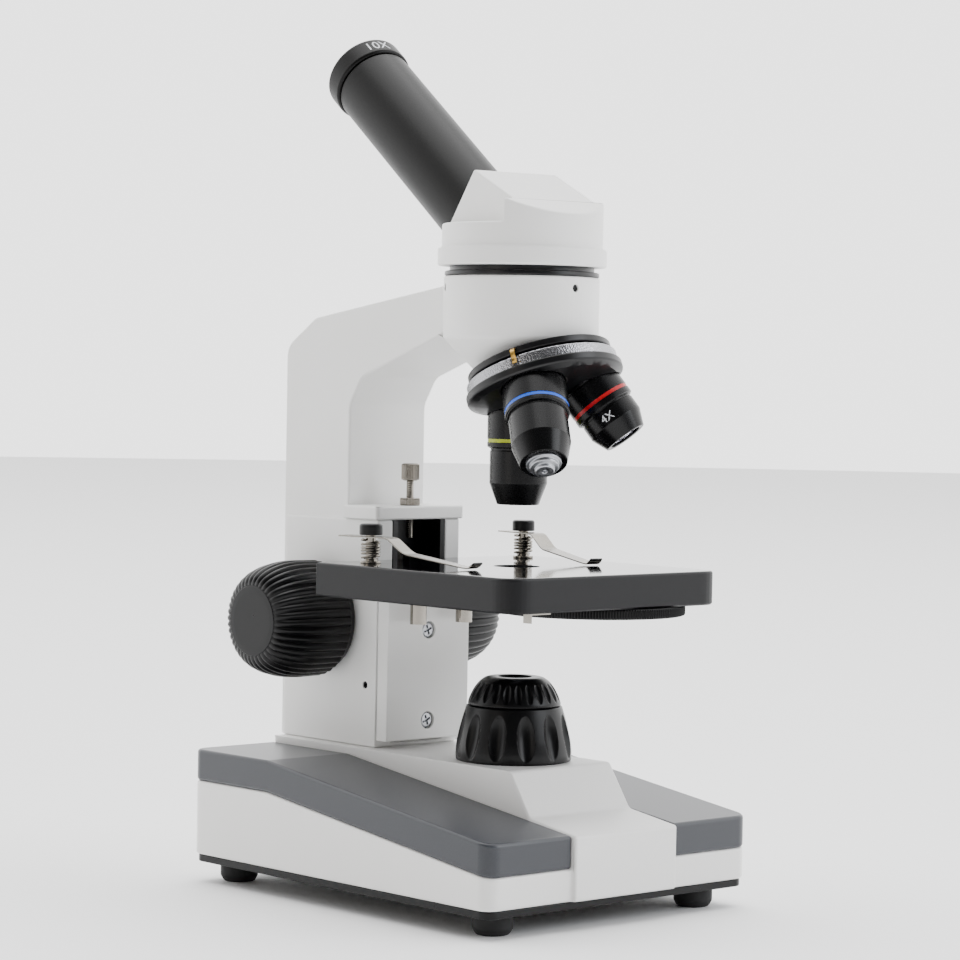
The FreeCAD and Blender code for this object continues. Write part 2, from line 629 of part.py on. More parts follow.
# ------------------------------------------------------------------ focus drive
rack_web_low = S.carriage_low + 6
rack_web_top = S.stage_top - S.stage_thick - 1
stop_tip = S.housing_top - S.stop_reach
slide_top = stop_tip - S.travel_up - 0.3


def make_rail():
    body = new_body("guide_rail", at())
    half = S.rail_half
    low = S.spine_top + 2
    box(body, (-half, S.housing_front, low), (half, S.rail_back, S.housing_top - 0.2), "Additive")
    inner = half - S.rail_wall
    box(body, (-inner, S.housing_front - 1, low - 1), (inner, S.rail_floor, S.housing_top))
    slot = S.web_half + S.slide_gap
    box(body, (-slot, S.rail_floor - 1, rack_web_low - S.travel_down - 1),
        (slot, S.rail_back + 1, rack_web_top + S.travel_up + 1))


def make_slide_block():
    """The block that runs in the rail and stops against the screw's tip."""
    body = new_body("slide_block", at())
    half = S.rail_half - S.rail_wall - S.slide_gap
    box(body, (-half, S.housing_front - CARRIAGE_GAP, S.carriage_low + 2),
        (half, S.rail_floor - S.slide_gap, slide_top), "Additive")
    for z in RACK_SCREWS:
        along = Placement(Vector(0, S.housing_front - 1, z), Rotation(Vector(1, 0, 0), -90))
        rod(body, Size(SCREW_SHANK), Size(20.0), along)


def tooth_profile():
    """Rack teeth as (depth, height) steps: straight flanks at 20 degrees."""
    pitch = math.pi * S.tooth_module
    thin = pitch / 2 - 0.12
    lean = math.tan(math.radians(20))
    tip = 0.6
    root = 1.0
    steps = []
    count = int((rack_web_top - rack_web_low) / pitch)
    middle = S.pinion_high + pitch / 2
    first = middle - pitch * round((middle - rack_web_low - pitch) / pitch)
    for i in range(count - 1):
        z = first + i * pitch
        if z + pitch / 2 > rack_web_top:
            break
        steps.append((-root, z - thin / 2 - root * lean))
        steps.append((tip, z - thin / 2 + tip * lean))
        steps.append((tip, z + thin / 2 - tip * lean))
        steps.append((-root, z + thin / 2 + root * lean))
    return steps


def make_rack():
    pitch_line = S.pinion_back - S.pinion_pitch
    back = S.rail_back + S.slide_gap
    points = [Vector(0, back, rack_web_low), Vector(0, back, rack_web_top),
              Vector(0, pitch_line - 1.0, rack_web_top)]
    for depth, z in reversed(tooth_profile()):
        points.append(Vector(0, pitch_line + depth, z))
    points.append(Vector(0, pitch_line - 1.0, rack_web_low))
    face = Part.Face(Part.makePolygon(points + points[:1]))
    head = face.extrude(Vector(S.rack_half * 2, 0, 0))
    head.translate(Vector(-S.rack_half, 0, 0))
    web_front = S.rail_floor - S.slide_gap
    web = Part.makeBox(S.web_half * 2, back - web_front, rack_web_top - rack_web_low,
                       Vector(-S.web_half, web_front, rack_web_low))
    shape = head.fuse(web)
    for z in RACK_SCREWS:
        reach = S.rail_back + 3 - web_front + 1
        hole = Part.makeCylinder(SCREW_SHANK, reach, Vector(0, web_front - 1, z), Vector(0, 1, 0))
        shape = shape.cut(hole)
    plain("rack", at(), shape.removeSplitter())


CARRIAGE_GAP = 0.6
RACK_SCREWS = (66.0, 102.0)


def make_rack_screws():
    seat = S.carriage_front + SCREW_HEAD_HIGH + 0.4
    fixing = screw(SCREW_HEAD, SCREW_HEAD_HIGH, SCREW_SHANK, S.rail_back - seat + 3, slot=0.8)
    front = Rotation(Vector(1, 0, 0), 90)
    plain("rack_screws", Placement(), copies(fixing, [at(0, seat, z, front) for z in RACK_SCREWS]))


def make_pinion():
    """Sixteen involute teeth cut in a disc, on the shaft."""
    teeth = 16
    pitch_radius = float(S.pinion_pitch)
    base = pitch_radius * math.cos(math.radians(20))
    tip = pitch_radius + 0.7
    root = pitch_radius - 0.9
    backlash = 0.06
    half = math.pi / teeth / 2 - backlash / pitch_radius
    involute = math.tan(math.radians(20)) - math.radians(20)

    def flank(radius):
        if radius <= base:
            return half + involute
        roll = math.acos(base / radius)
        return half + involute - (math.tan(roll) - roll)

    radii = [root, base, pitch_radius - 0.15, pitch_radius + 0.3, tip]
    points = []
    for i in range(teeth):
        middle = 2 * math.pi * i / teeth
        for radius, side in [(r, -1) for r in radii] + [(r, 1) for r in reversed(radii)]:
            angle = middle + side * flank(radius)
            points.append(Vector(0, radius * math.cos(angle), radius * math.sin(angle)))
    face = Part.Face(Part.makePolygon(points + points[:1]))
    width = S.rack_half * 2 - 1
    solid = face.extrude(Vector(width, 0, 0))
    solid.translate(Vector(-width / 2, 0, 0))
    bore = Part.makeCylinder(S.shaft_radius, width + 2, Vector(-width / 2 - 1, 0, 0), Vector(1, 0, 0))
    plain("pinion", at(0, S.pinion_back, S.pinion_high), solid.cut(bore))


def make_focus_shaft():
    knob_start = S.housing_half + S.knob_gap
    reach = knob_start + S.knob_long - 6
    turn_profile("focus_shaft", at(0, S.pinion_back, S.pinion_high, ALONG_X), [
        (Size(0.0), -reach), (S.shaft_radius, -reach), (S.shaft_radius, reach), (Size(0.0), reach)])
    bush = turned_solid([(S.shaft_radius + S.run_gap, 0), (S.bush_radius, 0),
                         (S.bush_radius, S.housing_half - S.rack_half - 1.5),
                         (S.bush_radius + 1.5, S.housing_half - S.rack_half - 1.5 + 0.5),
                         (S.bush_radius + 1.5, S.housing_half - S.rack_half - 1.5 + 1.2),
                         (S.shaft_radius + S.run_gap, S.housing_half - S.rack_half - 1.5 + 1.2)])
    bush.translate(Vector(0, 0, S.rack_half + 1.5))
    centre = at(0, S.pinion_back, S.pinion_high)
    turns = [ALONG_X, Rotation(Vector(0, 1, 0), -90)]
    plain("shaft_bushes", Placement(), copies(bush, [Placement(centre.Base, t) for t in turns]))
    for label, side in (("knob_left", -1), ("knob_right", 1)):
        turn = Rotation(Vector(0, 1, 0), 90 * side)
        knob = turn_profile(label, at(0, S.pinion_back, S.pinion_high, turn), [
            (S.shaft_radius, knob_start), (Size(16.0), knob_start),
            (S.knob_radius - 2.2, knob_start + 1), (S.knob_radius - 2.2, knob_start + 4),
            (S.knob_radius, knob_start + 6), (S.knob_radius, knob_start + 20),
            (S.knob_end + 1.2, knob_start + S.knob_long - 1), (S.knob_end, knob_start + S.knob_long - 1),
            (S.knob_end, knob_start + S.knob_long - 3), (S.shaft_radius, knob_start + S.knob_long - 3)])
        bend = knob_start + 20

        def shoulder(edge):
            span = edge.BoundBox
            return span.ZLength < FLAT and abs(span.ZMin - bend) < FLAT

        fillet(knob, 50.0, shoulder)
    disc = turned_solid([(0, 0), (S.knob_end - 0.1, 0), (S.knob_end - 0.1, 2.6), (12.0, 3.0), (0, 3.0)])
    disc.translate(Vector(0, 0, knob_start + S.knob_long - 3))
    plain("knob_caps", Placement(), copies(disc, [Placement(centre.Base, t) for t in turns]))


# ------------------------------------------------------------ carriage and stage
flange_low = S.stage_top - S.stage_skin - 8.5


def make_carriage():
    body = new_body("carriage", at())
    half = S.carriage_half
    back = S.housing_front - CARRIAGE_GAP
    top = S.stage_top - S.stage_skin
    box(body, (-half, S.carriage_front, S.carriage_low), (half, back, top), "Additive")
    box(body, (-half, S.carriage_front - 20, flange_low), (half, S.carriage_front + 1, top),
        "Additive")
    for z in RACK_SCREWS:
        start = Vector(0, S.carriage_front - 1, z)
        along = Rotation(Vector(1, 0, 0), -90)
        rod(body, Size(SCREW_HEAD + 0.1), Size(SCREW_HEAD_HIGH + 1.4), Placement(start, along))
        rod(body, Size(SCREW_SHANK), Size(10.0), Placement(start, along))
    for x in (-STAGE_SCREW_SIDE, STAGE_SCREW_SIDE):
        rod(body, Size(2.0), Size(20.0), Placement(Vector(x, STAGE_SCREW_BACK, flange_low - 1), UPRIGHT))


STAGE_SCREW_SIDE = 12.0
STAGE_SCREW_BACK = 43.5


def make_stage():
    body = new_body("stage_plate", at())
    half = S.stage_half
    low = S.stage_top - S.stage_thick
    corners = [(-half, -S.stage_front), (half, -S.stage_front), (half, S.stage_back),
               (-half, S.stage_back)]
    pad(body, "XY_Plane", corners, S.stage_thick, offset=low)
    fillet(body, S.stage_corner, lambda e: upright(e) and e.BoundBox.YMin < 0)
    inner = half - S.stage_rim
    under = S.stage_top - S.stage_skin
    box(body, (-inner, -S.stage_front + S.stage_rim, low - 1),
        (inner, S.stage_back - S.stage_rim, under))
    back = S.carriage_half + 0.3
    box(body, (-back, S.stage_back - S.stage_rim - 1, low - 1), (back, S.stage_back + 1, under))
    rod(body, S.stage_bore, Size(20.0), Placement(Vector(0, 0, S.stage_top - 10), UPRIGHT))
    for x in (-STAGE_SCREW_SIDE, STAGE_SCREW_SIDE):
        rod(body, Size(2.0), S.stage_skin - 1.5, Placement(
            Vector(x, STAGE_SCREW_BACK, S.stage_top - S.stage_skin), UPRIGHT))
    for x in (-S.post_side, S.post_side):
        rod(body, S.post_radius, Size(12.0), Placement(Vector(x, S.post_back, S.stage_top - 8), UPRIGHT))
    # a boss for the diaphragm's pivot
    hub_high = S.stage_thick - S.stage_skin
    hub = Placement(Vector(S.disc_side, -S.disc_fore, S.stage_top - S.stage_skin - hub_high), UPRIGHT)
    rod(body, Size(5.0), hub_high, hub, "Additive")
    rod(body, Size(PIVOT_RADIUS), hub_high, hub)


PIVOT_RADIUS = 2.0


def make_stage_fixings():
    fixing = screw(3.3, 12.5, 2.0, 8.5 + S.stage_skin - 2.0, slot=1.0)
    down = Rotation(Vector(1, 0, 0), 180)
    spots = [at(x, STAGE_SCREW_BACK, flange_low, down) for x in (-STAGE_SCREW_SIDE, STAGE_SCREW_SIDE)]
    plain("stage_screws", Placement(), copies(fixing, spots))
    turn_profile("condenser_lens", at(), [
        (Size(0.0), S.stage_top - 4.0), (Size(9.0), S.stage_top - 4.0), (Size(9.0), S.stage_top - 2.0),
        (Size(6.0), S.stage_top - 1.0), (Size(0.0), S.stage_top - 0.5)])


def make_clips():
    cap_low = S.leaf_rise + S.leaf_thick + 0.3
    post = turned_solid([(0, -3.5), (S.post_radius, -3.5), (S.post_radius, cap_low + 3.5), (0, cap_low + 3.5)])
    cap = turned_solid([(S.post_radius, cap_low), (4.45, cap_low), (4.45, cap_low + 4), (3.9, cap_low + 4.4),
                        (0, cap_low + 4.4), (0, cap_low + 3.5), (S.post_radius, cap_low + 3.5)])
    spots = [at(side * S.post_side, S.post_back, S.stage_top) for side in (-1, 1)]
    plain("clip_posts", Placement(), copies(post, spots))
    plain("clip_caps", Placement(), copies(cap, spots))
    wire = 0.4
    coil_radius = 3.45
    high = S.leaf_rise - 2 * wire - 0.4
    helix = Part.makeHelix(high / 5.5, high, coil_radius)
    circle = Part.Wire(Part.makeCircle(wire, Vector(coil_radius, 0, 0), Vector(0, 1, 0)))
    coil = Part.Wire(helix.Edges).makePipeShell([circle], True, True)
    coil.translate(Vector(0, 0, wire + 0.1))
    plain("clip_springs", Placement(), copies(coil, spots))
    for label, side in (("clip_leaf_left", -1), ("clip_leaf_right", 1)):
        body = new_body(label, at(side * S.post_side, S.post_back, S.stage_top,
                                  Rotation(Vector(0, 0, 1), CLIP_TOE * -side)))
        thick = S.leaf_thick
        line = [(-LEAF_TAIL, S.leaf_rise), (Size(10.5), S.leaf_rise), (Size(18.5), Size(4.4)),
                (Size(47.0), Size(1.2)), (Size(52.0), Size(2.2))]
        lower = [(-along, high) for along, high in line]
        upper = [(-along, high + thick) for along, high in reversed(line)]
        pad(body, "YZ_Plane", lower + upper, Size(7.0), middle=True)
        rod(body, S.post_radius + 0.1, Size(20.0), Placement(Vector(0, 0, 2), UPRIGHT))


CLIP_TOE = 10.0
LEAF_TAIL = Size(13.5)


def make_diaphragm():
    top = S.stage_top - S.stage_thick - 0.3
    body = turn_profile("disc_diaphragm", at(S.disc_side, -S.disc_fore), [
        (Size(PIVOT_RADIUS + 0.05), top - S.disc_thick + 2), (Size(8.0), top - S.disc_thick + 2),
        (S.disc_radius - 6, top - S.disc_thick + 2), (S.disc_radius - 5, top - S.disc_thick),
        (S.disc_radius, top - S.disc_thick), (S.disc_radius, top), (Size(PIVOT_RADIUS + 0.05), top)])
    reach = math.hypot(S.disc_side, S.disc_fore)
    start = math.degrees(math.atan2(S.disc_fore, -S.disc_side))
    for i, radius in enumerate((3.4, 2.8, 2.2, 1.6, 1.1, 0.7)):
        angle = math.radians(start + 60 * i)
        spot = Vector(reach * 0.86 * math.cos(angle), reach * 0.86 * math.sin(angle), top - 8)
        rod(body, Size(radius), Size(12.0), Placement(spot, UPRIGHT))
    turn_profile("diaphragm_pivot", at(S.disc_side, -S.disc_fore), [
        (Size(0.0), top - S.disc_thick), (Size(4.0), top - S.disc_thick), (Size(4.0), top - S.disc_thick + 1.7),
        (Size(PIVOT_RADIUS), top - S.disc_thick + 1.7), (Size(PIVOT_RADIUS), top + 6), (Size(0.0), top + 6)])
    leaf = new_body("diaphragm_detent", at())
    under = S.stage_top - S.stage_thick
    front = -S.stage_front + 1.5
    box(leaf, (Size(-44.0), front, under - 0.6), (Size(-34.0), front + 4, under), "Additive")
    box(leaf, (Size(-44.0), front, under - 3.6), (Size(-43.4), front + 4, under - 0.3), "Additive")


# ------------------------------------------------------- nosepiece and objectives
def make_nosepiece():
    start = S.flange_reach
    turn_profile("nosepiece_flange", TURRET, [
        (Size(2.5), -start - 3.6), (S.flange_radius - 4, -start - 3.6), (S.flange_radius, -start - 2.4),
        (S.flange_radius, -start), (Size(2.5), -start)])
    ring_top = -start - 3.9
    turn_profile("turret_ring", TURRET, [
        (S.ring_radius - 4, ring_top - 4), (S.ring_radius, ring_top - 4), (S.ring_radius, ring_top - 0.5),
        (S.ring_radius - 0.5, ring_top), (S.ring_radius - 4, ring_top)])
    dome = turn_profile("turret_dome", TURRET, [
        (Size(2.55), ring_top), (S.ring_radius - 4, ring_top), (S.ring_radius - 4, ring_top - 4),
        (S.dome_radius, ring_top - 4), (S.dome_radius, ring_top - 7),
        (S.dome_radius - 3, ring_top - 8.6), (Size(20.0), ring_top - 10.4), (Size(8.0), ring_top - 12),
        (Size(2.55), ring_top - 12.2)])
    local_lean = Rotation(Vector(1, 0, 0), 180 + S.turret_tilt)
    for i in range(3):
        turn = Rotation(Vector(0, 0, 1), -120 * i) * local_lean
        outward = turn.multVec(Vector(0, 0, 1))
        rod(dome, S.collar_radius + 0.15, Size(20.0), Placement(outward * float(S.seat_reach), turn))
        rod(dome, S.thread_radius, Size(40.0), Placement(outward * 20.0, turn))
    turn_profile("turret_screw", TURRET, [
        (Size(0.0), -start + 4), (Size(2.5), -start + 4), (Size(2.5), ring_top - 12.4),
        (Size(5.0), ring_top - 12.4), (Size(5.0), ring_top - 13.6), (Size(4.2), ring_top - 14.4),
        (Size(0.0), ring_top - 14.4)])
    spring = Part.makeBox(5, 1.2, 7.5, Vector(-2.5, 0, 0))
    spring = spring.cut(Part.makeBox(5, 0.7, 5.5, Vector(-2.5, -0.001, -0.001)))
    aside = Rotation(Vector(0, 0, 1), -62)
    spot = aside.multVec(Vector(0, -S.ring_radius - 2.4, -start - 7.0))
    plain("detent_spring", TURRET.multiply(Placement(spot, aside)), spring)


def objective_place(index):
    """The frame of an objective: its axis runs down from the apex."""
    return Placement(APEX, Rotation(TURRET_AXIS, 120.0 * index))


LENS_SEAT = 2.0


def make_objectives():
    seat = S.seat_reach
    thread = S.thread_radius - 0.02
    neck = 5.0
    collar = S.collar_radius
    barrel = S.barrel_radius

    def shell(label, index, outside):
        bore = outside[-1][0] - 2.2
        inside = [(bore, outside[-1][1]), (bore, outside[-1][1] + LENS_SEAT + 1),
                  (Size(7.0), outside[-1][1] + LENS_SEAT + 6), (Size(7.0), -seat + neck)]
        top = [(thread, -seat + neck), (thread, -seat)]
        turn_profile(label, objective_place(index), top + outside + inside)

    tip10 = S.apex_high - 154.0
    shell("objective_10x", 0, [(collar, -seat), (collar, -seat - 15.5), (barrel, -seat - 16.2),
                               (barrel, -tip10 + 8.3), (Size(8.4), -tip10 + 0.6), (Size(8.0), -tip10)])
    tip4 = seat + 25.3
    shell("objective_4x", 1, [(collar, -seat), (collar, -seat - 12.0), (barrel, -seat - 12.7),
                              (barrel, -tip4 + 6.5), (Size(8.4), -tip4)])
    tip40 = seat + 41.0
    shell("objective_40x", 2, [(collar, -seat), (collar, -seat - 15.5), (barrel, -seat - 16.2),
                               (barrel, -tip40 + 11.5), (Size(9.0), -tip40 + 4.0)])
    lens10 = turned_solid([(0, -tip10 + 0.8), (5.8, -tip10 + 0.4), (5.8, -tip10 + 2.8), (0, -tip10 + 2.8)])
    lens4 = turned_solid([(0, -tip4 + 1.6), (6.2, -tip4 + 1.0), (6.2, -tip4 + 2.8), (0, -tip4 + 2.8)])
    lens10.Placement = objective_place(0)
    lens4.Placement = objective_place(1)
    plain("objective_lenses", Placement(), Part.makeCompound([lens10, lens4]))
    turn_profile("tip_40x", objective_place(2), [
        (Size(0.0), -tip40 + 0.6), (Size(1.4), -tip40 + 0.6), (Size(1.9), -tip40), (Size(3.2), -tip40 + 0.2),
        (Size(4.6), -tip40 + 2.2), (Size(6.7), -tip40 + 3.2), (Size(6.7), -tip40 + 9),
        (Size(0.0), -tip40 + 9)])


# ------------------------------------------------------------------- head, tube
def make_head():
    rim = S.rim_low
    turn_profile("head_ring", HEAD, [
        (S.neck_bore - 8, S.neck_top - 8.5), (S.neck_bore - S.run_gap, S.neck_top - 8.5),
        (S.neck_bore - S.run_gap, S.neck_top + 0.2), (S.neck_radius - 0.3, S.neck_top + 0.2),
        (S.neck_radius - 0.3, S.neck_top + 1.9), (S.neck_radius - 2.5, S.neck_top + 1.9),
        (S.neck_radius - 2.5, rim), (S.neck_bore - 8, rim)])
    body = new_body("head_housing", HEAD)
    rod(body, S.head_radius, S.ridge_high - rim, Placement(Vector(0, 0, rim), UPRIGHT), "Additive")
    high = S.ridge_high + 1
    far = S.head_radius + 5
    fall = math.tan(math.radians(S.roof_slope))
    steep = math.tan(math.radians(S.tube_tilt))
    drop = far * fall + S.ridge_back * fall
    front = [(S.ridge_back, S.ridge_high), (-far, S.ridge_high - drop), (-far, high),
             (S.ridge_back, high)]
    side_pocket(body, front, far * 2)
    reach = (S.ridge_high - S.rim_top) / steep
    rear = [(S.ridge_back, S.ridge_high), (S.ridge_back, high), (far, high),
            (far, S.rim_top), (S.ridge_back + reach, S.rim_top)]
    side_pocket(body, rear, far * 2)
    for side in (-1, 1):
        low = (S.flat_half, -S.flat_front, S.flat_low) if side > 0 else (-far, -S.flat_front, S.flat_low)
        top = (far, far, high) if side > 0 else (-S.flat_half, far, high)
        box(body, low, top)
    rod(body, S.rim_radius, S.rim_top - rim, Placement(Vector(0, 0, rim), UPRIGHT), "Additive")
    # light path, prism cavity and the socket of the tube
    rod(body, S.light_bore, Size(8.0), Placement(Vector(0, 0, rim - 1), UPRIGHT))
    box(body, (Size(-PRISM_HALF - 0.3), Size(-PRISM_HALF - 2.0), rim + 3.5),
        (Size(PRISM_HALF + 0.3), Size(PRISM_HALF), rim + 25.0))
    root = Vector(0, 0, S.tube_root)
    along = TUBE_LEAN.multVec(Vector(0, 0, 1))
    rod(body, S.tube_radius, Size(60.0), Placement(root + along * float(S.tube_start), TUBE_LEAN))
    inner = root + along * float(S.tube_start - S.spigot_long)
    rod(body, S.spigot_radius, S.spigot_long + 5, Placement(inner, TUBE_LEAN))
    rod(body, Size(PRISM_HALF), Size(20.0), Placement(root + along * 5.0, TUBE_LEAN))
    prism = new_body("prism", HEAD)
    floor = rim + 3.5
    half = PRISM_HALF
    corners = [(Size(-half), floor), (Size(half - 4.0), floor), (Size(-half), floor + 15)]
    pad(prism, "YZ_Plane", corners, Size(half * 2), middle=True)


PRISM_HALF = 9.5


def make_tube():
    barrel = S.barrel_fit + S.run_gap
    sleeve = S.tube_end - S.barrel_long - 3
    bottom = S.tube_start - S.spigot_long
    turn_profile("eyepiece_tube", TUBE, [
        (S.spigot_radius - 2, bottom), (S.spigot_radius, bottom), (S.spigot_radius, S.tube_start),
        (S.tube_radius, S.tube_start), (S.tube_radius, S.tube_end),
        (barrel, S.tube_end), (barrel, sleeve), (S.tube_radius - 1.5, sleeve),
        (S.tube_radius - 1.5, S.tube_start + 2), (S.spigot_radius - 2, S.tube_start + 2)])
    seat = S.tube_end + 0.3
    top = seat + S.cap_long
    turn_profile("eyepiece", TUBE, [
        (S.barrel_fit - 1.5, S.tube_end - S.barrel_long), (S.barrel_fit, S.tube_end - S.barrel_long),
        (S.barrel_fit, seat), (S.cap_radius - 0.4, seat), (S.cap_radius - 0.4, seat + 3.2),
        (S.cap_radius, seat + 3.8), (S.cap_radius, top - 1.0), (S.cap_radius - 1.0, top),
        (Size(9.5), top), (Size(5.5), top - 2.5), (Size(5.5), top - 4.0), (S.barrel_fit - 1.5, top - 4.0)])
    eye = [(0, top - 7.5), (9.0, top - 7.5), (9.0, top - 4.0), (5.0, top - 4.0), (0, top - 3.2)]
    field_high = S.tube_end - S.barrel_long + 2
    field = [(0, field_high - 1.2), (S.barrel_fit - 1.5, field_high), (S.barrel_fit - 1.5, field_high + 3),
             (0, field_high + 3)]
    lenses = Part.makeCompound([turned_solid(eye), turned_solid(field)])
    plain("eyepiece_lenses", TUBE, lenses)


make_base_shell()
make_trims()
make_bottom_plate()
make_feet()
make_power()
make_lamp()
make_arm()
make_arm_fixings()
make_stop()
make_stop_screw()
make_rail()
make_slide_block()
make_rack()
make_rack_screws()
make_pinion()
make_focus_shaft()
make_carriage()
make_stage()
make_stage_fixings()
make_clips()
make_diaphragm()
make_nosepiece()
make_objectives()
make_head()
make_tube()
doc.recompute()

# ----------------------------------------------------------------- check and save
for thing in doc.Objects:
    if "Invalid" in thing.State or "Error" in thing.State:
        raise RuntimeError("%s failed: %s" % (thing.Name, thing.State))
os.makedirs("parts", exist_ok=True)
for part in parts:
    shape = part.Shape
    if shape.isNull() or not shape.isValid():
        raise RuntimeError(part.Label + " has no valid shape")
    shape.exportStep("parts/%s.step" % part.Label)
print(len(parts), "pieces")
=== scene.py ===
# %% [markdown]
# # A student microscope in Blender
# The real object is a small monocular microscope: a painted die-cast stand, moulded
# plastic knobs and lamp, turned metal optics. Its measured solids come from CAD as a
# fixed frame. This lesson gives them their looks: turned, fluted and knurled pieces are
# worked out with numpy, and every finish is a procedural material.

# %% Load the fixed frame
import json
import math

import bmesh
import bpy
import numpy as np
from mathutils import Matrix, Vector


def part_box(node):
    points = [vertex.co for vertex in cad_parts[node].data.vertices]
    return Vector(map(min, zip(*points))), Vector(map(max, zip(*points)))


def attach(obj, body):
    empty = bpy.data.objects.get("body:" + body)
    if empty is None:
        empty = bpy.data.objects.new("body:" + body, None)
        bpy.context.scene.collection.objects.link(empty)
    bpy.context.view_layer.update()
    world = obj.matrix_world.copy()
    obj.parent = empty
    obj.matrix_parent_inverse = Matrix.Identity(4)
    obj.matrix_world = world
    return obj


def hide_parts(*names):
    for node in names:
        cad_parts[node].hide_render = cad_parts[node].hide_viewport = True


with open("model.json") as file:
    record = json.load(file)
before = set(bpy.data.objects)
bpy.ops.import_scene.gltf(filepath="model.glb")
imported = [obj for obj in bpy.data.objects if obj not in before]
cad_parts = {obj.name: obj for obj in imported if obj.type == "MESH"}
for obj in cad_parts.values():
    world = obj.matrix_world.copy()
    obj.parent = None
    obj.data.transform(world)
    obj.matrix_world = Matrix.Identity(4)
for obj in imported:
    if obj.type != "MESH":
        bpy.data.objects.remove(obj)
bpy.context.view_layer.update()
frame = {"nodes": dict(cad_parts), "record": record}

record = frame["record"]
joints = {joint["name"]: joint for joint in record["behaviour"]["joints"]}

# %% [markdown]
# ## Where things are
# The solids sit in one frame: +Z up, the front towards -Y, metres. Sizes of a small
# instrument are easier to read in millimetres, so the pieces below are worked out in
# millimetres and written to the mesh in metres. The axes come from the joints in the
# record, so a piece lands on its solid without any fitting.

# %% The axes of the instrument
METRE = 0.001


def place_of(name):
    """A joint's point in millimetres."""
    return np.array(joints[name]["pos_m"]) / METRE


optical = np.array([0.0, place_of("head_turn")[1], 0.0])
apex = place_of("turret_turn")
turret_axis = np.array(joints["turret_turn"]["axis"], float)
focus_centre = place_of("focus_turn")
print("optical axis at y", round(optical[1], 2), "mm")


def aim(axis, sideways=(1.0, 0.0, 0.0)):
    """Columns of a turn that sends local Z to the axis, with local X nearest to sideways."""
    up = np.array(axis, float) / np.linalg.norm(axis)
    across = np.cross(up, sideways)
    across /= np.linalg.norm(across)
    return np.column_stack([np.cross(across, up), across, up])


def spin(axis, degrees):
    """Turn about an axis: v cos a + (k x v) sin a + k (k.v)(1 - cos a), as a matrix."""
    k = np.array(axis, float) / np.linalg.norm(axis)
    cross = np.array([[0, -k[2], k[1]], [k[2], 0, -k[0]], [-k[1], k[0], 0]])
    angle = math.radians(degrees)
    return np.eye(3) + math.sin(angle) * cross + (1 - math.cos(angle)) * cross @ cross


turret_turn = aim(-turret_axis)
tube_axis = np.array(joints["eyepiece_draw"]["axis"], float)
tube_turn = aim(tube_axis)


def objective_turn(index):
    """The turn of objective 0, 1 or 2: a third of a turn of the nosepiece each."""
    return spin(turret_axis, 120 * index)


def reach(node):
    """Lowest and highest corner of a solid, in millimetres."""
    low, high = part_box(node)
    return np.array(low) / METRE, np.array(high) / METRE


# %% [markdown]
# ## Small tools for surfaces
# A turned piece is a profile swung round an axis. In mesh form that is a grid: one row
# for each profile point, one column for each angle, and quads between neighbours. A
# profile point on the axis gives a ring of equal points, which welding closes to a
# pole. Corners are eased with a short curve first, because no real edge is perfectly
# sharp and the eased edge catches the light.

# %% Profiles and grids
def eased(corners, radius, steps=4, loop=False):
    """Corner B between edge points A and C becomes (1-u)^2 A + 2u(1-u) B + u^2 C."""
    p = np.array(corners, float)
    before, after = np.roll(p, 1, 0), np.roll(p, -1, 0)
    to_a, to_c = before - p, after - p
    len_a = np.linalg.norm(to_a, axis=1, keepdims=True) + 1e-9
    len_c = np.linalg.norm(to_c, axis=1, keepdims=True) + 1e-9
    cut = np.minimum(np.broadcast_to(np.reshape(radius, (-1, 1)), len_a.shape),
                     0.45 * np.minimum(len_a, len_c))
    a, c = p + to_a / len_a * cut, p + to_c / len_c * cut
    u = np.linspace(0, 1, steps + 1)[None, :, None]
    curve = (1 - u) ** 2 * a[:, None] + 2 * u * (1 - u) * p[:, None] + u ** 2 * c[:, None]
    if loop:
        return curve.reshape(-1, 2)
    return np.vstack([p[:1], curve[1:-1].reshape(-1, 2), p[-1:]])


def closer(profile, gap):
    """The profile with extra points, none farther apart than the gap."""
    p = np.array(profile, float)
    length = np.concatenate([[0], np.cumsum(np.linalg.norm(np.diff(p, axis=0), axis=1))])
    marks = np.unique(np.concatenate([length, np.linspace(0, length[-1], int(length[-1] / gap) + 2)]))
    return np.column_stack([np.interp(marks, length, p[:, k]) for k in range(p.shape[1])])


def quads(rows, columns, loop=True):
    """Faces between neighbouring rows, as index arrays."""
    i = np.arange(rows - 1)[:, None]
    j = np.arange(columns if loop else columns - 1)[None, :]
    a, b = i * columns + j, i * columns + (j + 1) % columns
    return np.stack([a, b, b + columns, a + columns], -1).reshape(-1, 4)


def turned(profile, around=96, swell=None):
    """Point at angle a, row s: (r cos a, r sin a, z), with r = profile radius + swell(a, r, z)."""
    p = np.array(profile, float)
    angle = np.linspace(0, 2 * math.pi, around, endpoint=False)[None, :]
    r, z = p[:, :1], p[:, 1:]
    if swell:
        r = np.maximum(r + swell(angle, r, z), 0)
    points = np.stack(np.broadcast_arrays(r * np.cos(angle), r * np.sin(angle), z), -1)
    return points.reshape(-1, 3), quads(len(p), around)


def joined(*parts):
    """Several (points, faces) pairs as one."""
    points, faces, count = [], [], 0
    for some, quad in parts:
        points.append(np.asarray(some))
        faces += [[int(i) + count for i in face] for face in quad]
        count += len(some)
    return np.vstack(points), faces


def moved(part, origin, turn=np.eye(3)):
    """Turn a part, then carry it to its place."""
    points, faces = part
    return points @ turn.T + np.array(origin), faces


def ellipse(value, width):
    """1 - (value / width)^2, a helper for scoops and domes."""
    return 1 - (value / width) ** 2


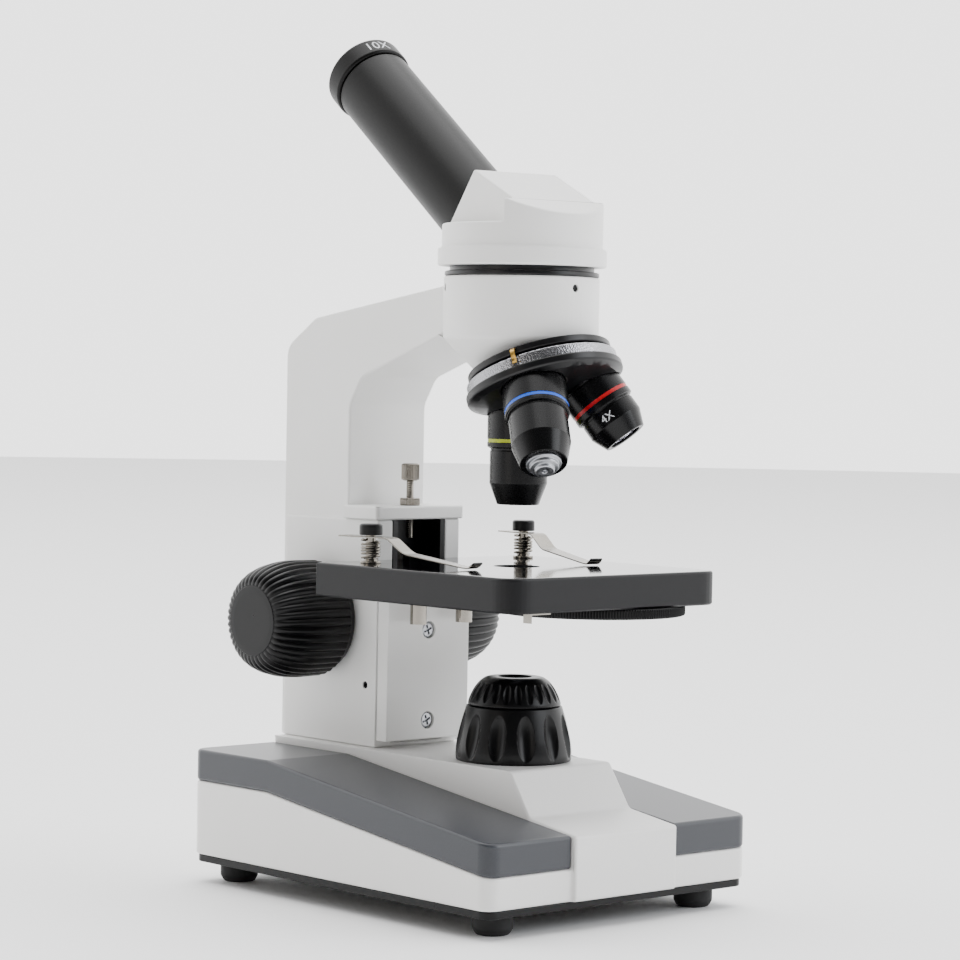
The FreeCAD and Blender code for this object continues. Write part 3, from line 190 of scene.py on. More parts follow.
# %% [markdown]
# ## From numbers to an object
# The grid goes into a mesh in one call. Welding closes poles and seams, smooth shading
# rounds the facets, and edges sharper than a set angle stay crisp. A Weighted Normal
# modifier keeps broad faces flat to the eye next to their narrow eased edges. The object
# stays at the origin with its place in its mesh, as the solids do.

# %% Make a piece
def finish_mesh(mesh, crisp):
    """Smooth shading, with edges sharper than the crisp angle kept."""
    mesh.polygons.foreach_set("use_smooth", np.ones(len(mesh.polygons), bool))
    mesh.set_sharp_from_angle(angle=math.radians(crisp))


def place_piece(name, mesh, body, nodes, ease_width=0.0, segments=0):
    """An object for the mesh, on its body, with its modifiers; the solids it replaces are hidden."""
    made = bpy.data.objects.new(name, mesh)
    bpy.context.scene.collection.objects.link(made)
    if ease_width:
        ease = made.modifiers.new("ease", "BEVEL")
        ease.width = ease_width * METRE
        ease.segments = segments
        ease.limit_method = "WEIGHT"
        ease.use_clamp_overlap = False
        ease.miter_outer = "MITER_ARC"
    even = made.modifiers.new("even", "WEIGHTED_NORMAL")
    even.keep_sharp = True
    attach(made, body)
    if nodes:
        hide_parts(*nodes)
    print(name, len(mesh.polygons), "faces")


def show(name, part, material, body, nodes=(), crisp=40, weld=0.004, inks=None):
    """Write a (points, faces) pair as an object that rides on a body."""
    points, faces = part
    mesh = bpy.data.meshes.new(name)
    mesh.from_pydata((np.asarray(points) * METRE).tolist(), [], [list(map(int, f)) for f in faces])
    mesh.materials.append(material)
    if inks:
        for extra in inks[0]:
            mesh.materials.append(extra)
        mesh.polygons.foreach_set("material_index", np.asarray(inks[1], np.int32))
    work = bmesh.new()
    work.from_mesh(mesh)
    bmesh.ops.remove_doubles(work, verts=work.verts, dist=weld * METRE)
    bmesh.ops.dissolve_degenerate(work, edges=work.edges, dist=1e-7)
    work.to_mesh(mesh)
    work.free()
    finish_mesh(mesh, crisp)
    place_piece(name, mesh, body, nodes)


def long_sharp(mesh, angle, least):
    """1 for edges sharper than the angle whose connected run spans at least so many metres."""
    work = bmesh.new()
    work.from_mesh(mesh)
    turn = np.array([edge.calc_face_angle(0.0) for edge in work.edges])
    pairs = np.array([[vert.index for vert in edge.verts] for edge in work.edges])
    spot = np.array([vert.co for vert in work.verts])
    work.free()
    sharp = turn > math.radians(angle)
    a, b = pairs[sharp].T
    run = np.arange(len(spot))
    while np.any(run[a] != run[b]):
        least_run = np.minimum(run[a], run[b])
        np.minimum.at(run, a, least_run)
        np.minimum.at(run, b, least_run)
    low, high = np.full((len(spot), 3), 9.0), np.full((len(spot), 3), -9.0)
    np.minimum.at(low, run[a], spot[a])
    np.maximum.at(high, run[a], spot[a])
    span = np.linalg.norm(high - low, axis=1)
    chosen = np.zeros(len(pairs))
    chosen[sharp] = span[run[a]] > least
    return chosen


def softened(node, name, material, body, width, segments=3, limit=18, least=0.012):
    """A copy of a solid's mesh with its longer edges rounded by a Bevel modifier."""
    mesh = frame["nodes"][node].data.copy()
    mesh.name = name
    mesh.materials.clear()
    mesh.materials.append(material)
    work = bmesh.new()
    work.from_mesh(mesh)
    bmesh.ops.remove_doubles(work, verts=work.verts, dist=2e-6)
    bmesh.ops.dissolve_limit(work, angle_limit=math.radians(0.6), verts=work.verts, edges=work.edges)
    work.to_mesh(mesh)
    work.free()
    finish_mesh(mesh, limit)
    weight = mesh.attributes.new("bevel_weight_edge", "FLOAT", "EDGE")
    weight.data.foreach_set("value", long_sharp(mesh, limit, least))
    place_piece(name, mesh, body, [node], width, segments)


# %% [markdown]
# ## Finishes
# Every material starts from the real finish. One function turns an sRGB hex value to
# the linear colour that the shader works in, and one adds a node with its settings and
# links. Patterns read Object coordinates, which are metres here, so a Noise scale of
# 1000 makes cells of about one millimetre.

# %% Colour and node helpers
def linear(code):
    """sRGB hex to linear: ((c + 0.055) / 1.055)^2.4, or c / 12.92 where dark."""
    c = np.array([int(code[i:i + 2], 16) for i in (0, 2, 4)]) / 255
    return (*np.where(c > 0.04045, ((c + 0.055) / 1.055) ** 2.4, c / 12.92), 1.0)


def add(tree, kind, links=(), feeds=None, **settings):
    """Add a shader node, set inputs (To_Min is "To Min") and properties, link (output, input) pairs.

    feeds is an output's name and the socket that it goes to.
    """
    node = tree.nodes.new("ShaderNode" + kind)
    for key, value in settings.items():
        label = key.replace("_", " ")
        if label in node.inputs:
            node.inputs[label].default_value = value
        else:
            setattr(node, key, value)
    for source, target in links:
        tree.links.new(source, node.inputs[target])
    if feeds:
        tree.links.new(node.outputs[feeds[0]], feeds[1])
    return node


def tint(ramp, *codes):
    """Give a colour ramp's stops their colours."""
    for stop, code in zip(ramp.color_ramp.elements, codes):
        stop.color = linear(code)


def cells(millimetres):
    """Noise scale whose features are this many millimetres across."""
    return 1000.0 / millimetres


def started(name, code, metallic, roughness, **more):
    """A material with its shader's plain values set; patterns are added after."""
    material = bpy.data.materials.new(name)
    material.use_nodes = True
    tree = material.node_tree
    shader = tree.nodes["Principled BSDF"]
    shader.inputs["Base Color"].default_value = linear(code)
    shader.inputs["Metallic"].default_value = metallic
    shader.inputs["Roughness"].default_value = roughness
    for key, value in more.items():
        shader.inputs[key.replace("_", " ")].default_value = value
    place = add(tree, "TexCoord").outputs["Object"]
    material.diffuse_color = linear(code)
    return material, tree, shader, place


# %% White powder coat
# Powder paint baked on die-cast metal. It flows into a faint orange peel with dimples
# about 0.9 mm across, so the soft reflections on it break up a little.
powder_white, tree, shader, place = started("white_powder_coat", "E9E8E6", 0.0, 0.42, IOR=1.5)
peel = add(tree, "TexNoise", [(place, "Vector")], Scale=cells(0.9), Detail=3.0, Roughness=0.5)
add(tree, "Bump", [(peel.outputs["Fac"], "Height")], Strength=0.35, Distance=0.00006,
    feeds=("Normal", shader.inputs["Normal"]))
tone = add(tree, "TexNoise", [(place, "Vector")], Scale=cells(45), Detail=2.0)
shade = add(tree, "ValToRGB", [(tone.outputs["Fac"], "Fac")],
            feeds=("Color", shader.inputs["Base Color"]))
tint(shade, "E6E5E2", "ECECEB")

# %% White moulded plastic
# The base is moulded ABS: smoother than the paint, with a fine even texture and a
# slightly softer, deeper white.
abs_white, tree, shader, place = started("white_moulded_abs", "EAE9E7", 0.0, 0.36, IOR=1.52)
grain = add(tree, "TexNoise", [(place, "Vector")], Scale=cells(0.5), Detail=4.0, Roughness=0.6)
add(tree, "Bump", [(grain.outputs["Fac"], "Height")], Strength=0.25, Distance=0.00003,
    feeds=("Normal", shader.inputs["Normal"]))
add(tree, "MapRange", [(grain.outputs["Fac"], "Value")], To_Min=0.30, To_Max=0.44,
    feeds=("Result", shader.inputs["Roughness"]))

# %% Slate satin paint
# The grey trims carry a satin lacquer over plastic: an even blue grey with a low, broad
# gloss, and a very fine speckle that only shows as a soft unevenness.
satin_grey, tree, shader, place = started(
    "slate_satin_lacquer", "34363B", 0.0, 0.36, IOR=1.5, Specular_IOR_Level=0.35,
    Coat_Weight=0.1, Coat_Roughness=0.22)
fleck = add(tree, "TexNoise", [(place, "Vector")], Scale=cells(0.35), Detail=2.0)
mottle = add(tree, "ValToRGB", [(fleck.outputs["Fac"], "Fac")],
             feeds=("Color", shader.inputs["Base Color"]))
mottle.color_ramp.elements[0].position, mottle.color_ramp.elements[1].position = 0.3, 0.7
tint(mottle, "303237", "393B40")
add(tree, "Bump", [(fleck.outputs["Fac"], "Height")], Strength=0.2, Distance=0.00002,
    feeds=("Normal", shader.inputs["Normal"]))

# %% Black moulded plastic
# Glass-filled black plastic on knobs and lamp: semi-gloss, with mould texture of about
# 0.4 mm that roughens the highlight, and a slight haze where fingers have polished it.
black_mould, tree, shader, place = started("black_moulded_plastic", "050506", 0.0, 0.3, IOR=1.5,
                                          Specular_IOR_Level=0.22)
pits = add(tree, "TexNoise", [(place, "Vector")], Scale=cells(0.4), Detail=3.0, Roughness=0.6)
add(tree, "Bump", [(pits.outputs["Fac"], "Height")], Strength=0.3, Distance=0.00004,
    feeds=("Normal", shader.inputs["Normal"]))
haze = add(tree, "TexNoise", [(place, "Vector")], Scale=cells(9), Detail=3.0)
add(tree, "MapRange", [(haze.outputs["Fac"], "Value")], To_Min=0.22, To_Max=0.40,
    feeds=("Result", shader.inputs["Roughness"]))

# %% Black anodised aluminium
# Bead-blasted, then anodised black: a fine sparkle of grit about 0.5 mm wide sits in a
# broad soft highlight along the barrel.
anodised, tree, shader, place = started("black_anodised_aluminium", "08080A", 0.0, 0.36, IOR=1.5,
                                       Specular_IOR_Level=0.16)
grit = add(tree, "TexNoise", [(place, "Vector")], Scale=cells(0.5), Detail=2.0, Roughness=0.7)
add(tree, "Bump", [(grit.outputs["Fac"], "Height")], Strength=0.5, Distance=0.00006,
    feeds=("Normal", shader.inputs["Normal"]))
speck = add(tree, "ValToRGB", [(grit.outputs["Fac"], "Fac")],
            feeds=("Color", shader.inputs["Base Color"]))
speck.color_ramp.elements[0].position, speck.color_ramp.elements[1].position = 0.35, 0.75
tint(speck, "050506", "0F0E0C")

# %% Black lacquered brass
# The objectives are turned brass under thin black lacquer. A slight unevenness, about
# 0.6 mm across, varies its gloss, and a thin clear coat sharpens the highlight.
lacquered, tree, shader, place = started(
    "black_lacquered_brass", "040405", 0.0, 0.26, IOR=1.5, Specular_IOR_Level=0.2,
    Coat_Weight=0.05, Coat_Roughness=0.12)
lathe = add(tree, "TexNoise", [(place, "Vector")], Scale=cells(0.6), Detail=2.0)
add(tree, "MapRange", [(lathe.outputs["Fac"], "Value")], To_Min=0.24, To_Max=0.31,
    feeds=("Result", shader.inputs["Roughness"]))

# %% Black stage enamel
# Stove enamel, polished to a mirror on top and satin on the rim. The normal's upright
# part tells the two apart, so one material serves the whole plate.
enamel, tree, shader, place = started(
    "black_stove_enamel", "050508", 0.0, 0.2, IOR=1.5, Specular_IOR_Level=0.25)
face = add(tree, "NewGeometry")
upright = add(tree, "SeparateXYZ", [(face.outputs["Normal"], "Vector")])
satin = add(tree, "TexNoise", [(place, "Vector")], Scale=cells(0.6), Detail=3.0)
rim_gloss = add(tree, "MapRange", [(satin.outputs["Fac"], "Value")], To_Min=0.36, To_Max=0.50)
is_top = add(tree, "MapRange", [(upright.outputs["Z"], "Value")], From_Min=0.75, From_Max=0.98)
gloss = add(tree, "Mix", [(is_top.outputs["Result"], 0), (rim_gloss.outputs["Result"], 2)])
gloss.inputs[3].default_value = 0.07
tree.links.new(gloss.outputs[0], shader.inputs["Roughness"])
add(tree, "Bump", [(satin.outputs["Fac"], "Height")], Strength=0.12, Distance=0.00002,
    feeds=("Normal", shader.inputs["Normal"]))

# %% Bright nickel plate
# Electroplated nickel: warm bright metal, with faint polishing swirls in its gloss.
nickel, tree, shader, place = started("bright_nickel_plate", "8E8981", 1.0, 0.16)
swirl = add(tree, "TexNoise", [(place, "Vector")], Scale=cells(1.2), Detail=4.0, Roughness=0.6)
add(tree, "MapRange", [(swirl.outputs["Fac"], "Value")], To_Min=0.1, To_Max=0.26,
    feeds=("Result", shader.inputs["Roughness"]))

# %% Knurled chrome
# The nosepiece ring is cross-cut and chromed. The cut is a pattern of small dents about
# 0.6 mm wide that scatters the reflection into bright and dark flecks.
chrome, tree, shader, place = started("knurled_chrome", "9C9CA0", 1.0, 0.25)
dents = add(tree, "TexVoronoi", [(place, "Vector")], Scale=cells(0.6))
add(tree, "Bump", [(dents.outputs["Distance"], "Height")], Strength=0.7, Distance=0.0002,
    feeds=("Normal", shader.inputs["Normal"]))

# %% Spring steel
# Rolled strip and drawn wire: a cool grey metal with a fine satin from the rolling.
spring_steel, tree, shader, place = started("rolled_spring_steel", "8F8B84", 1.0, 0.24)
roll = add(tree, "TexNoise", [(place, "Vector")], Scale=cells(0.8), Detail=3.0)
add(tree, "MapRange", [(roll.outputs["Fac"], "Value")], To_Min=0.18, To_Max=0.34,
    feeds=("Result", shader.inputs["Roughness"]))

# %% Zinc-plated and blackened steel
# Screws and shafts: zinc is a dull, faintly mottled silver, and gun blacking leaves the small
# set screws dark with a thin oily gloss. The same dark steel fills the column's flank hole as painted
# shade.
zinc, tree, shader, place = started("zinc_plated_steel", "A9ABAF", 1.0, 0.34)
crystal = add(tree, "TexVoronoi", [(place, "Vector")], Scale=cells(1.5))
add(tree, "MapRange", [(crystal.outputs["Distance"], "Value")], To_Min=0.25, To_Max=0.45,
    feeds=("Result", shader.inputs["Roughness"]))
blackened, tree, shader, place = started("gun_blackened_steel", "0B0B0D", 0.6, 0.35)
oil = add(tree, "TexNoise", [(place, "Vector")], Scale=cells(2), Detail=3.0)
add(tree, "MapRange", [(oil.outputs["Fac"], "Value")], To_Min=0.25, To_Max=0.5,
    feeds=("Result", shader.inputs["Roughness"]))

# %% Black painted metal
# Rail, turret and flange: thin semi-gloss black paint on machined metal.
black_paint, tree, shader, place = started("black_painted_metal", "08080A", 0.0, 0.3, IOR=1.5,
                                          Specular_IOR_Level=0.35)
spray = add(tree, "TexNoise", [(place, "Vector")], Scale=cells(0.7), Detail=3.0)
add(tree, "Bump", [(spray.outputs["Fac"], "Height")], Strength=0.2, Distance=0.00004,
    feeds=("Normal", shader.inputs["Normal"]))
add(tree, "MapRange", [(spray.outputs["Fac"], "Value")], To_Min=0.24, To_Max=0.38,
    feeds=("Result", shader.inputs["Roughness"]))

# %% Brass, rubber and circuit board
# Free-cutting brass for gears and bushes, black rubber for the feet, green resist on
# the driver board.
brass, tree, shader, place = started("free_cutting_brass", "C9A24E", 1.0, 0.3)
tarnish = add(tree, "TexNoise", [(place, "Vector")], Scale=cells(4), Detail=4.0)
aged = add(tree, "ValToRGB", [(tarnish.outputs["Fac"], "Fac")],
           feeds=("Color", shader.inputs["Base Color"]))
tint(aged, "A97F35", "D9B566")
rubber, tree, shader, place = started("black_rubber", "131314", 0.0, 0.75)
bloom = add(tree, "TexNoise", [(place, "Vector")], Scale=cells(1.5), Detail=4.0)
dusty = add(tree, "ValToRGB", [(bloom.outputs["Fac"], "Fac")],
            feeds=("Color", shader.inputs["Base Color"]))
tint(dusty, "0D0D0E", "1C1C1D")
resist, tree, shader, place = started("green_board_resist", "145A33", 0.0, 0.3)
add(tree, "TexChecker", [(place, "Vector")], Scale=cells(3),
    Color1=linear("145A33"), Color2=linear("1A6A3C"), feeds=("Color", shader.inputs["Base Color"]))

# %% Glass
# Coated lens glass: clear, with the faint violet tint of its coating. The lamp's window
# is the same glass with a ground face, which blurs what is behind it.
lens_glass, tree, shader, place = started("coated_lens_glass", "E8E6F4", 0.0, 0.02, IOR=1.52,
                                          Transmission_Weight=0.9)
smear = add(tree, "TexNoise", [(place, "Vector")], Scale=cells(3), Detail=2.0)
add(tree, "MapRange", [(smear.outputs["Fac"], "Value")], To_Min=0.0, To_Max=0.06,
    feeds=("Result", shader.inputs["Roughness"]))
ground_glass, tree, shader, place = started("ground_glass", "DADDE0", 0.0, 0.45, IOR=1.5,
                                            Transmission_Weight=0.4)
frost = add(tree, "TexNoise", [(place, "Vector")], Scale=cells(0.3), Detail=2.0)
add(tree, "Bump", [(frost.outputs["Fac"], "Height")], Strength=0.4, Distance=0.00005,
    feeds=("Normal", shader.inputs["Normal"]))

# %% Ring paints and white ink
# Each objective has a ring of signal enamel filled into a groove, and engraved figures
# filled with white ink. Enamel pools slightly, so its tone is not quite even.
rings = {}
for label, code, deep in (("blue", "0A62E0", "084FC0"), ("yellow", "B4C01C", "929C18"),
                          ("red", "C8141C", "9C1018")):
    rings[label], tree, shader, place = started(
        label + "_ring_enamel", code, 0.0, 0.3, Specular_IOR_Level=0.3)
    pool = add(tree, "TexNoise", [(place, "Vector")], Scale=cells(2), Detail=2.0)
    pooled = add(tree, "ValToRGB", [(pool.outputs["Fac"], "Fac")],
                 feeds=("Color", shader.inputs["Base Color"]))
    tint(pooled, deep, code)
white_ink, tree, shader, place = started("white_filling_ink", "E4E6EA", 0.0, 0.5)
thin = add(tree, "TexNoise", [(place, "Vector")], Scale=cells(0.5), Detail=2.0)
patchy = add(tree, "ValToRGB", [(thin.outputs["Fac"], "Fac")],
             feeds=("Color", shader.inputs["Base Color"]))
tint(patchy, "B9BCC2", "F0F1F4")

# %% Give every solid its finish
finish_of = {
    "white_plastic": abs_white, "white_paint": powder_white, "grey_paint": satin_grey,
    "black_plate": black_mould, "rubber": rubber, "zinc_steel": zinc, "nickel": nickel,
    "chrome_ring": chrome, "spring_steel": spring_steel, "black_steel": blackened,
    "black_metal": black_paint, "black_anodised": anodised, "black_plastic": black_mould,
    "brass": brass, "board": resist, "frosted_glass": ground_glass, "clear_glass": lens_glass}
for part in record["subparts"]:
    solid = frame["nodes"][part["node"]]
    for held in solid.material_slots:
        held.material = finish_of[part["material_slot"]]
print(len(record["subparts"]), "solids have a finish")

# %% [markdown]
# ## Cast and moulded housings
# The base, trims, arm, carriage and head are castings and mouldings with flat faces and
# eased edges. They could be modelled again face by face, but the solids already have the
# right planes, so the simplest honest way is a copy with its edges rounded by a Bevel
# modifier: about 1 mm on castings, less on small plates. Small holes keep their edge.

# %% Housings with rounded edges
softened("base_shell", "base_moulding", abs_white, "stand", 1.1, least=0.06)
softened("base_trim_left", "trim_left", satin_grey, "stand", 1.2)
softened("base_trim_right", "trim_right", satin_grey, "stand", 1.2)
softened("bottom_plate", "bottom_tray", black_mould, "stand", 0.5)
softened("arm", "cast_arm", powder_white, "stand", 0.9, least=0.02)
softened("stop_plate", "stop_bracket", powder_white, "stand", 0.7)
softened("carriage", "stage_carriage", powder_white, "stage", 0.5)
softened("head_housing", "head_casting", powder_white, "head", 0.8)

# %% [markdown]
# ## Focus knobs
# Each knob is a moulded ogive: full width near the column, curving in to a flat end.
# Some forty rounded ribs run along it for grip. A rib pattern could be an array of bars,
# but a turned surface whose radius follows |cos| of the angle gives round ridges and
# narrow valleys in one skin, and they shrink with the ogive as the real ones do.

# %% Ribbed knobs
knob_low, knob_high = reach("knob_left")
knob_start = -knob_high[0]
knob_far = -knob_low[0]
knob_wide = (knob_high[2] - knob_low[2]) / 2
end_disc = 14.1
RIBS = 40
bend_at = knob_start + 14.0


def ogive(x):
    """r = end + (full - end) sqrt(1 - u^2), u running from the bend to the far end."""
    u = np.clip((x - bend_at) / (knob_far - 0.4 - bend_at), 0, 1)
    return end_disc + 0.6 + (knob_wide - end_disc - 0.6) * np.sqrt(1 - u ** 2)


def ribs(angle, r, z):
    """Rounded ribs that fade out at the collar: depth (|cos(N a / 2)| - 1)."""
    depth = 0.95 * np.clip((z - knob_start - 3.4) / 0.8, 0, 1) * np.clip((r - 13.0) / 1.5, 0, 1)
    return depth * (np.abs(np.cos(RIBS * angle / 2)) - 1)


along = bend_at + (knob_far - 0.4 - bend_at) * np.sin(np.linspace(0, math.pi / 2, 26))
ogive_curve = np.column_stack([ogive(along), along])
collar = eased([(4.0, knob_start), (20.8, knob_start), (21.6, knob_start + 3.2),
                (knob_wide - 0.2, knob_start + 3.8), (knob_wide, bend_at)], 0.5)
inside = eased([(end_disc + 0.6, knob_far - 0.4), (end_disc, knob_far - 0.2), (end_disc, knob_far - 2.6),
                (4.0, knob_far - 2.6)], 0.2)
knob_profile = np.vstack([closer(collar, 0.7), ogive_curve[1:], inside[1:]])
facing = {"knob_left": aim((-1, 0, 0), (0, 1, 0)), "knob_right": aim((1, 0, 0), (0, 1, 0))}
for label in facing:
    body_of_knob = moved(turned(knob_profile, RIBS * 12, ribs), focus_centre * [0, 1, 1], facing[label])
    show(label + "_ribbed", body_of_knob, black_mould, "focus", [label], crisp=50)
disc_edge = end_disc - 0.15
disc = turned(eased([(0, knob_far - 2.6), (disc_edge, knob_far - 2.6), (disc_edge, knob_far - 0.1),
                     (11.5, knob_far), (0, knob_far)], 0.4), 96)
discs = joined(*[moved(disc, focus_centre * [0, 1, 1], facing[label]) for label in facing])
show("knob_end_discs", discs, black_mould, "focus", ["knob_caps"])

# %% [markdown]
# ## Lamp housing and cap
# The lamp is a bell of black plastic with twelve deep oval finger scoops, and a cap with
# twenty-four small ones. A scoop is an ellipse drawn on the surface, pushed in by
# 1 - (x/a)^2 - (z/b)^2, which leaves a crisp rim and a round hollow. Boolean cuts would
# do it too, but the formula keeps one clean skin.

# %% Fluted lamp
lamp_low, lamp_high = reach("lamp_housing")
foot, seam = lamp_low[2], lamp_high[2]
top = reach("lamp_cap")[1][2]
BELL_SCOOPS, HOOD_SCOOPS = 12, 24


def scoops(count, middle, half_wide, half_high, depth, phase=0.0):
    """A swell that pushes in count ovals round the axis."""
    def swell(angle, r, z):
        step = 2 * math.pi / count
        off = (angle - phase + step / 2) % step - step / 2
        inside = ellipse(off * r, half_wide) + ellipse(z - middle, half_high) - 1
        return -depth * np.clip(inside, 0, None) ** 0.8
    return swell


bell = eased([(7.0, foot), (22.3, foot), (22.45, foot + 3.5), (22.0, foot + 7.5), (21.1, foot + 11.5),
              (19.9, foot + 16.2), (18.5, seam - 0.2), (17.6, seam), (16.0, seam), (16.0, foot + 3),
              (7.0, foot + 3), (7.0, foot)], [0.5] * 2 + [1.5] * 4 + [0.3] * 6)
big_scoops = scoops(BELL_SCOOPS, foot + 9.9, 3.5, 8.6, 2.0)
show("lamp_bell", moved(turned(closer(bell, 0.5), BELL_SCOOPS * 44, big_scoops), optical),
     black_mould, "stand", ["lamp_housing"], crisp=35)
hood = eased([(14.3, seam - 4.8), (15.7, seam - 4.8), (15.7, seam + 0.3), (18.0, seam + 0.35),
              (17.9, seam + 1.3), (17.1, seam + 3.6), (15.6, seam + 6.6), (13.6, seam + 9.2),
              (11.4, top - 0.35), (9.8, top), (6.7, top), (6.3, top - 0.5), (6.3, top - 2.5),
              (9.9, top - 2.5), (14.3, seam + 2), (14.3, seam - 4.8)], [0.3] * 4 + [1.2] * 6 + [0.4] * 6)
small_scoops = scoops(HOOD_SCOOPS, seam + 5.4, 1.45, 3.6, 0.9, math.pi / HOOD_SCOOPS)
show("lamp_hood", moved(turned(closer(hood, 0.35), HOOD_SCOOPS * 20, small_scoops), optical),
     black_mould, "lamp_top", ["lamp_cap"], crisp=35)

# %% [markdown]
# ## Stage
# The stage is a pressed and enamelled plate with a rim turned down all round. Its
# section is the same everywhere: up the rim, over an eased edge and across to the centre
# hole. So each ring of the mesh is the plate's outline moved inwards by a distance, and
# the last rings blend from the outline to the circle of the hole.

# %% Stage plate
plate_low, plate_high = reach("stage_plate")
half_wide = plate_high[0]
front_edge, back_edge = plate_low[1] - optical[1], plate_high[1] - optical[1]
stage_top, rim_low = plate_high[2], plate_low[2]
stage_under = stage_top - 4.0
hole = 9.0
plan = eased([(half_wide, front_edge), (half_wide, back_edge),
              (-half_wide, back_edge), (-half_wide, front_edge)], [10.5, 0.8, 0.8, 10.5], 14, loop=True)
plan = closer(np.vstack([plan, plan[:1]]), 2.0)[:-1]
tangent = np.roll(plan, -1, 0) - np.roll(plan, 1, 0)
tangent /= np.linalg.norm(tangent, axis=1, keepdims=True)
inward = np.column_stack([-tangent[:, 1], tangent[:, 0]])
round_hole = plan / np.linalg.norm(plan, axis=1, keepdims=True)
notch = (plan[:, 1] > back_edge - 0.5) & (np.abs(plan[:, 0]) < 22)
arc = np.linspace(0, math.pi / 2, 6)
edge = 1.1
# each ring: distance in from the outline, height, share of the way to the hole
rim_rings = [(4.0, stage_under, 0), (4.0, rim_low, 0), (0.6, rim_low, 0), (0.0, rim_low + 0.6, 0)]
rim_rings += [(edge * (1 - math.cos(a)), stage_top - edge * (1 - math.sin(a)), 0) for a in arc]
rim_rings += [(edge, stage_top, t) for t in (0.02, 0.25, 0.5, 0.75, 0.97)]
rim_rings += [(edge, stage_top, 1.0), (edge, stage_top - 0.4, 1.02), (edge, stage_under, 1.02)]
rim_rings += [(4.0, stage_under, 0)]
rows = []
for inset, height, share in rim_rings:
    ring = (plan + inward * inset) * (1 - min(share, 1)) + round_hole * hole / max(share, 1) * min(share, 1)
    level = np.where(notch, max(height, stage_under), height)
    rows.append(np.column_stack([ring, level]))
show("stage_table", moved((np.vstack(rows), quads(len(rows), len(plan))), optical), enamel, "stage",
     ["stage_plate"], crisp=35)

# %% [markdown]
# ## Disc diaphragm
# Under the stage hangs a wheel of six light stops. Its edge has fine straight knurling,
# about one groove a millimetre, which is a cosine on the radius. The wheel itself needs
# its six holes, so the solid stays and only a knurled band is laid round its edge.

# %% Knurled diaphragm edge
disc_low, disc_high = reach("disc_diaphragm")
disc_wide = (disc_high[0] - disc_low[0]) / 2
GROOVES = 200
disc_middle = np.array([(disc_low[0] + disc_high[0]) / 2, (disc_low[1] + disc_high[1]) / 2, 0])


def knurling(angle, r, z):
    """Fine straight grooves on the outer wall only."""
    return 0.22 * np.cos(angle * GROOVES) * (r > disc_wide)


band = eased([(disc_wide - 0.8, disc_low[2] + 0.1), (disc_wide + 0.25, disc_low[2] + 0.1),
              (disc_wide + 0.45, disc_low[2] + 0.5), (disc_wide + 0.45, disc_high[2] - 0.5),
              (disc_wide + 0.25, disc_high[2] - 0.1), (disc_wide - 0.8, disc_high[2] - 0.1),
              (disc_wide - 0.8, disc_low[2] + 0.1)], 0.2, 2)
show("diaphragm_knurl", moved(turned(band, GROOVES * 6, knurling), disc_middle), black_mould, "diaphragm",
     crisp=60)

# %% [markdown]
# ## Clips and their springs
# Two spring-steel leaves press a slide down. Each sits on a nickel post under a black
# button, and a coil spring holds it up. The leaf is a strip carried along a bent line,
# and the coil is a small circle carried along a helix.

# %% Clip parts
def ribbon(line, wide, thick, steps=5):
    """A strip along a line in the YZ plane: offset each point by its normal, extrude along X."""
    p = eased(line, 2.2, steps)
    step = np.gradient(p, axis=0)
    normal = np.column_stack([-step[:, 1], step[:, 0]]) / np.linalg.norm(step, axis=1, keepdims=True)
    half = np.broadcast_to(np.reshape(wide, (-1, 1)), (len(p), 1)) / 2
    lift = normal * thick
    ease = 0.08
    loops = [(-half + ease, 0), (half - ease, 0), (half, ease / thick), (half, 1 - ease / thick),
             (half - ease, 1), (-half + ease, 1), (-half, 1 - ease / thick), (-half, ease / thick)]
    columns = [np.column_stack([x, p + lift * share]) for x, share in loops]
    points = np.stack(columns, 1)
    n = len(p)
    faces = quads(n, 8).tolist()
    return points.reshape(-1, 3), faces + [list(range(7, -1, -1)), list(range((n - 1) * 8, n * 8))]


def helix(radius, wire, low, high, turns, around=10, per_turn=28):
    """Tube round a rising circle: c(t) + wire (cos p n(t) + sin p b(t))."""
    t = np.linspace(0, 1, int(turns * per_turn))[:, None]
    angle = 2 * math.pi * turns * t
    lift = low + (high - low) * (3 * t - 3 * t ** 2 + 2 * t ** 3) / 2
    centre = np.hstack([radius * np.cos(angle), radius * np.sin(angle), lift])
    step = np.gradient(centre, axis=0)
    step /= np.linalg.norm(step, axis=1, keepdims=True)
    n = np.hstack([-np.cos(angle), -np.sin(angle), 0 * angle])
    b = np.cross(step, n)
    p = np.linspace(0, 2 * math.pi, around, endpoint=False)
    across, along_b = np.cos(p)[None, :, None], np.sin(p)[None, :, None]
    rings = centre[:, None] + wire * (across * n[:, None] + along_b * b[:, None])
    ends = [np.repeat(centre[k:k + 1 or None, None], around, 1) for k in (0, -1)]
    rings = np.concatenate([ends[0], rings, ends[1]])
    return rings.reshape(-1, 3), quads(len(rings), around)[:, ::-1]


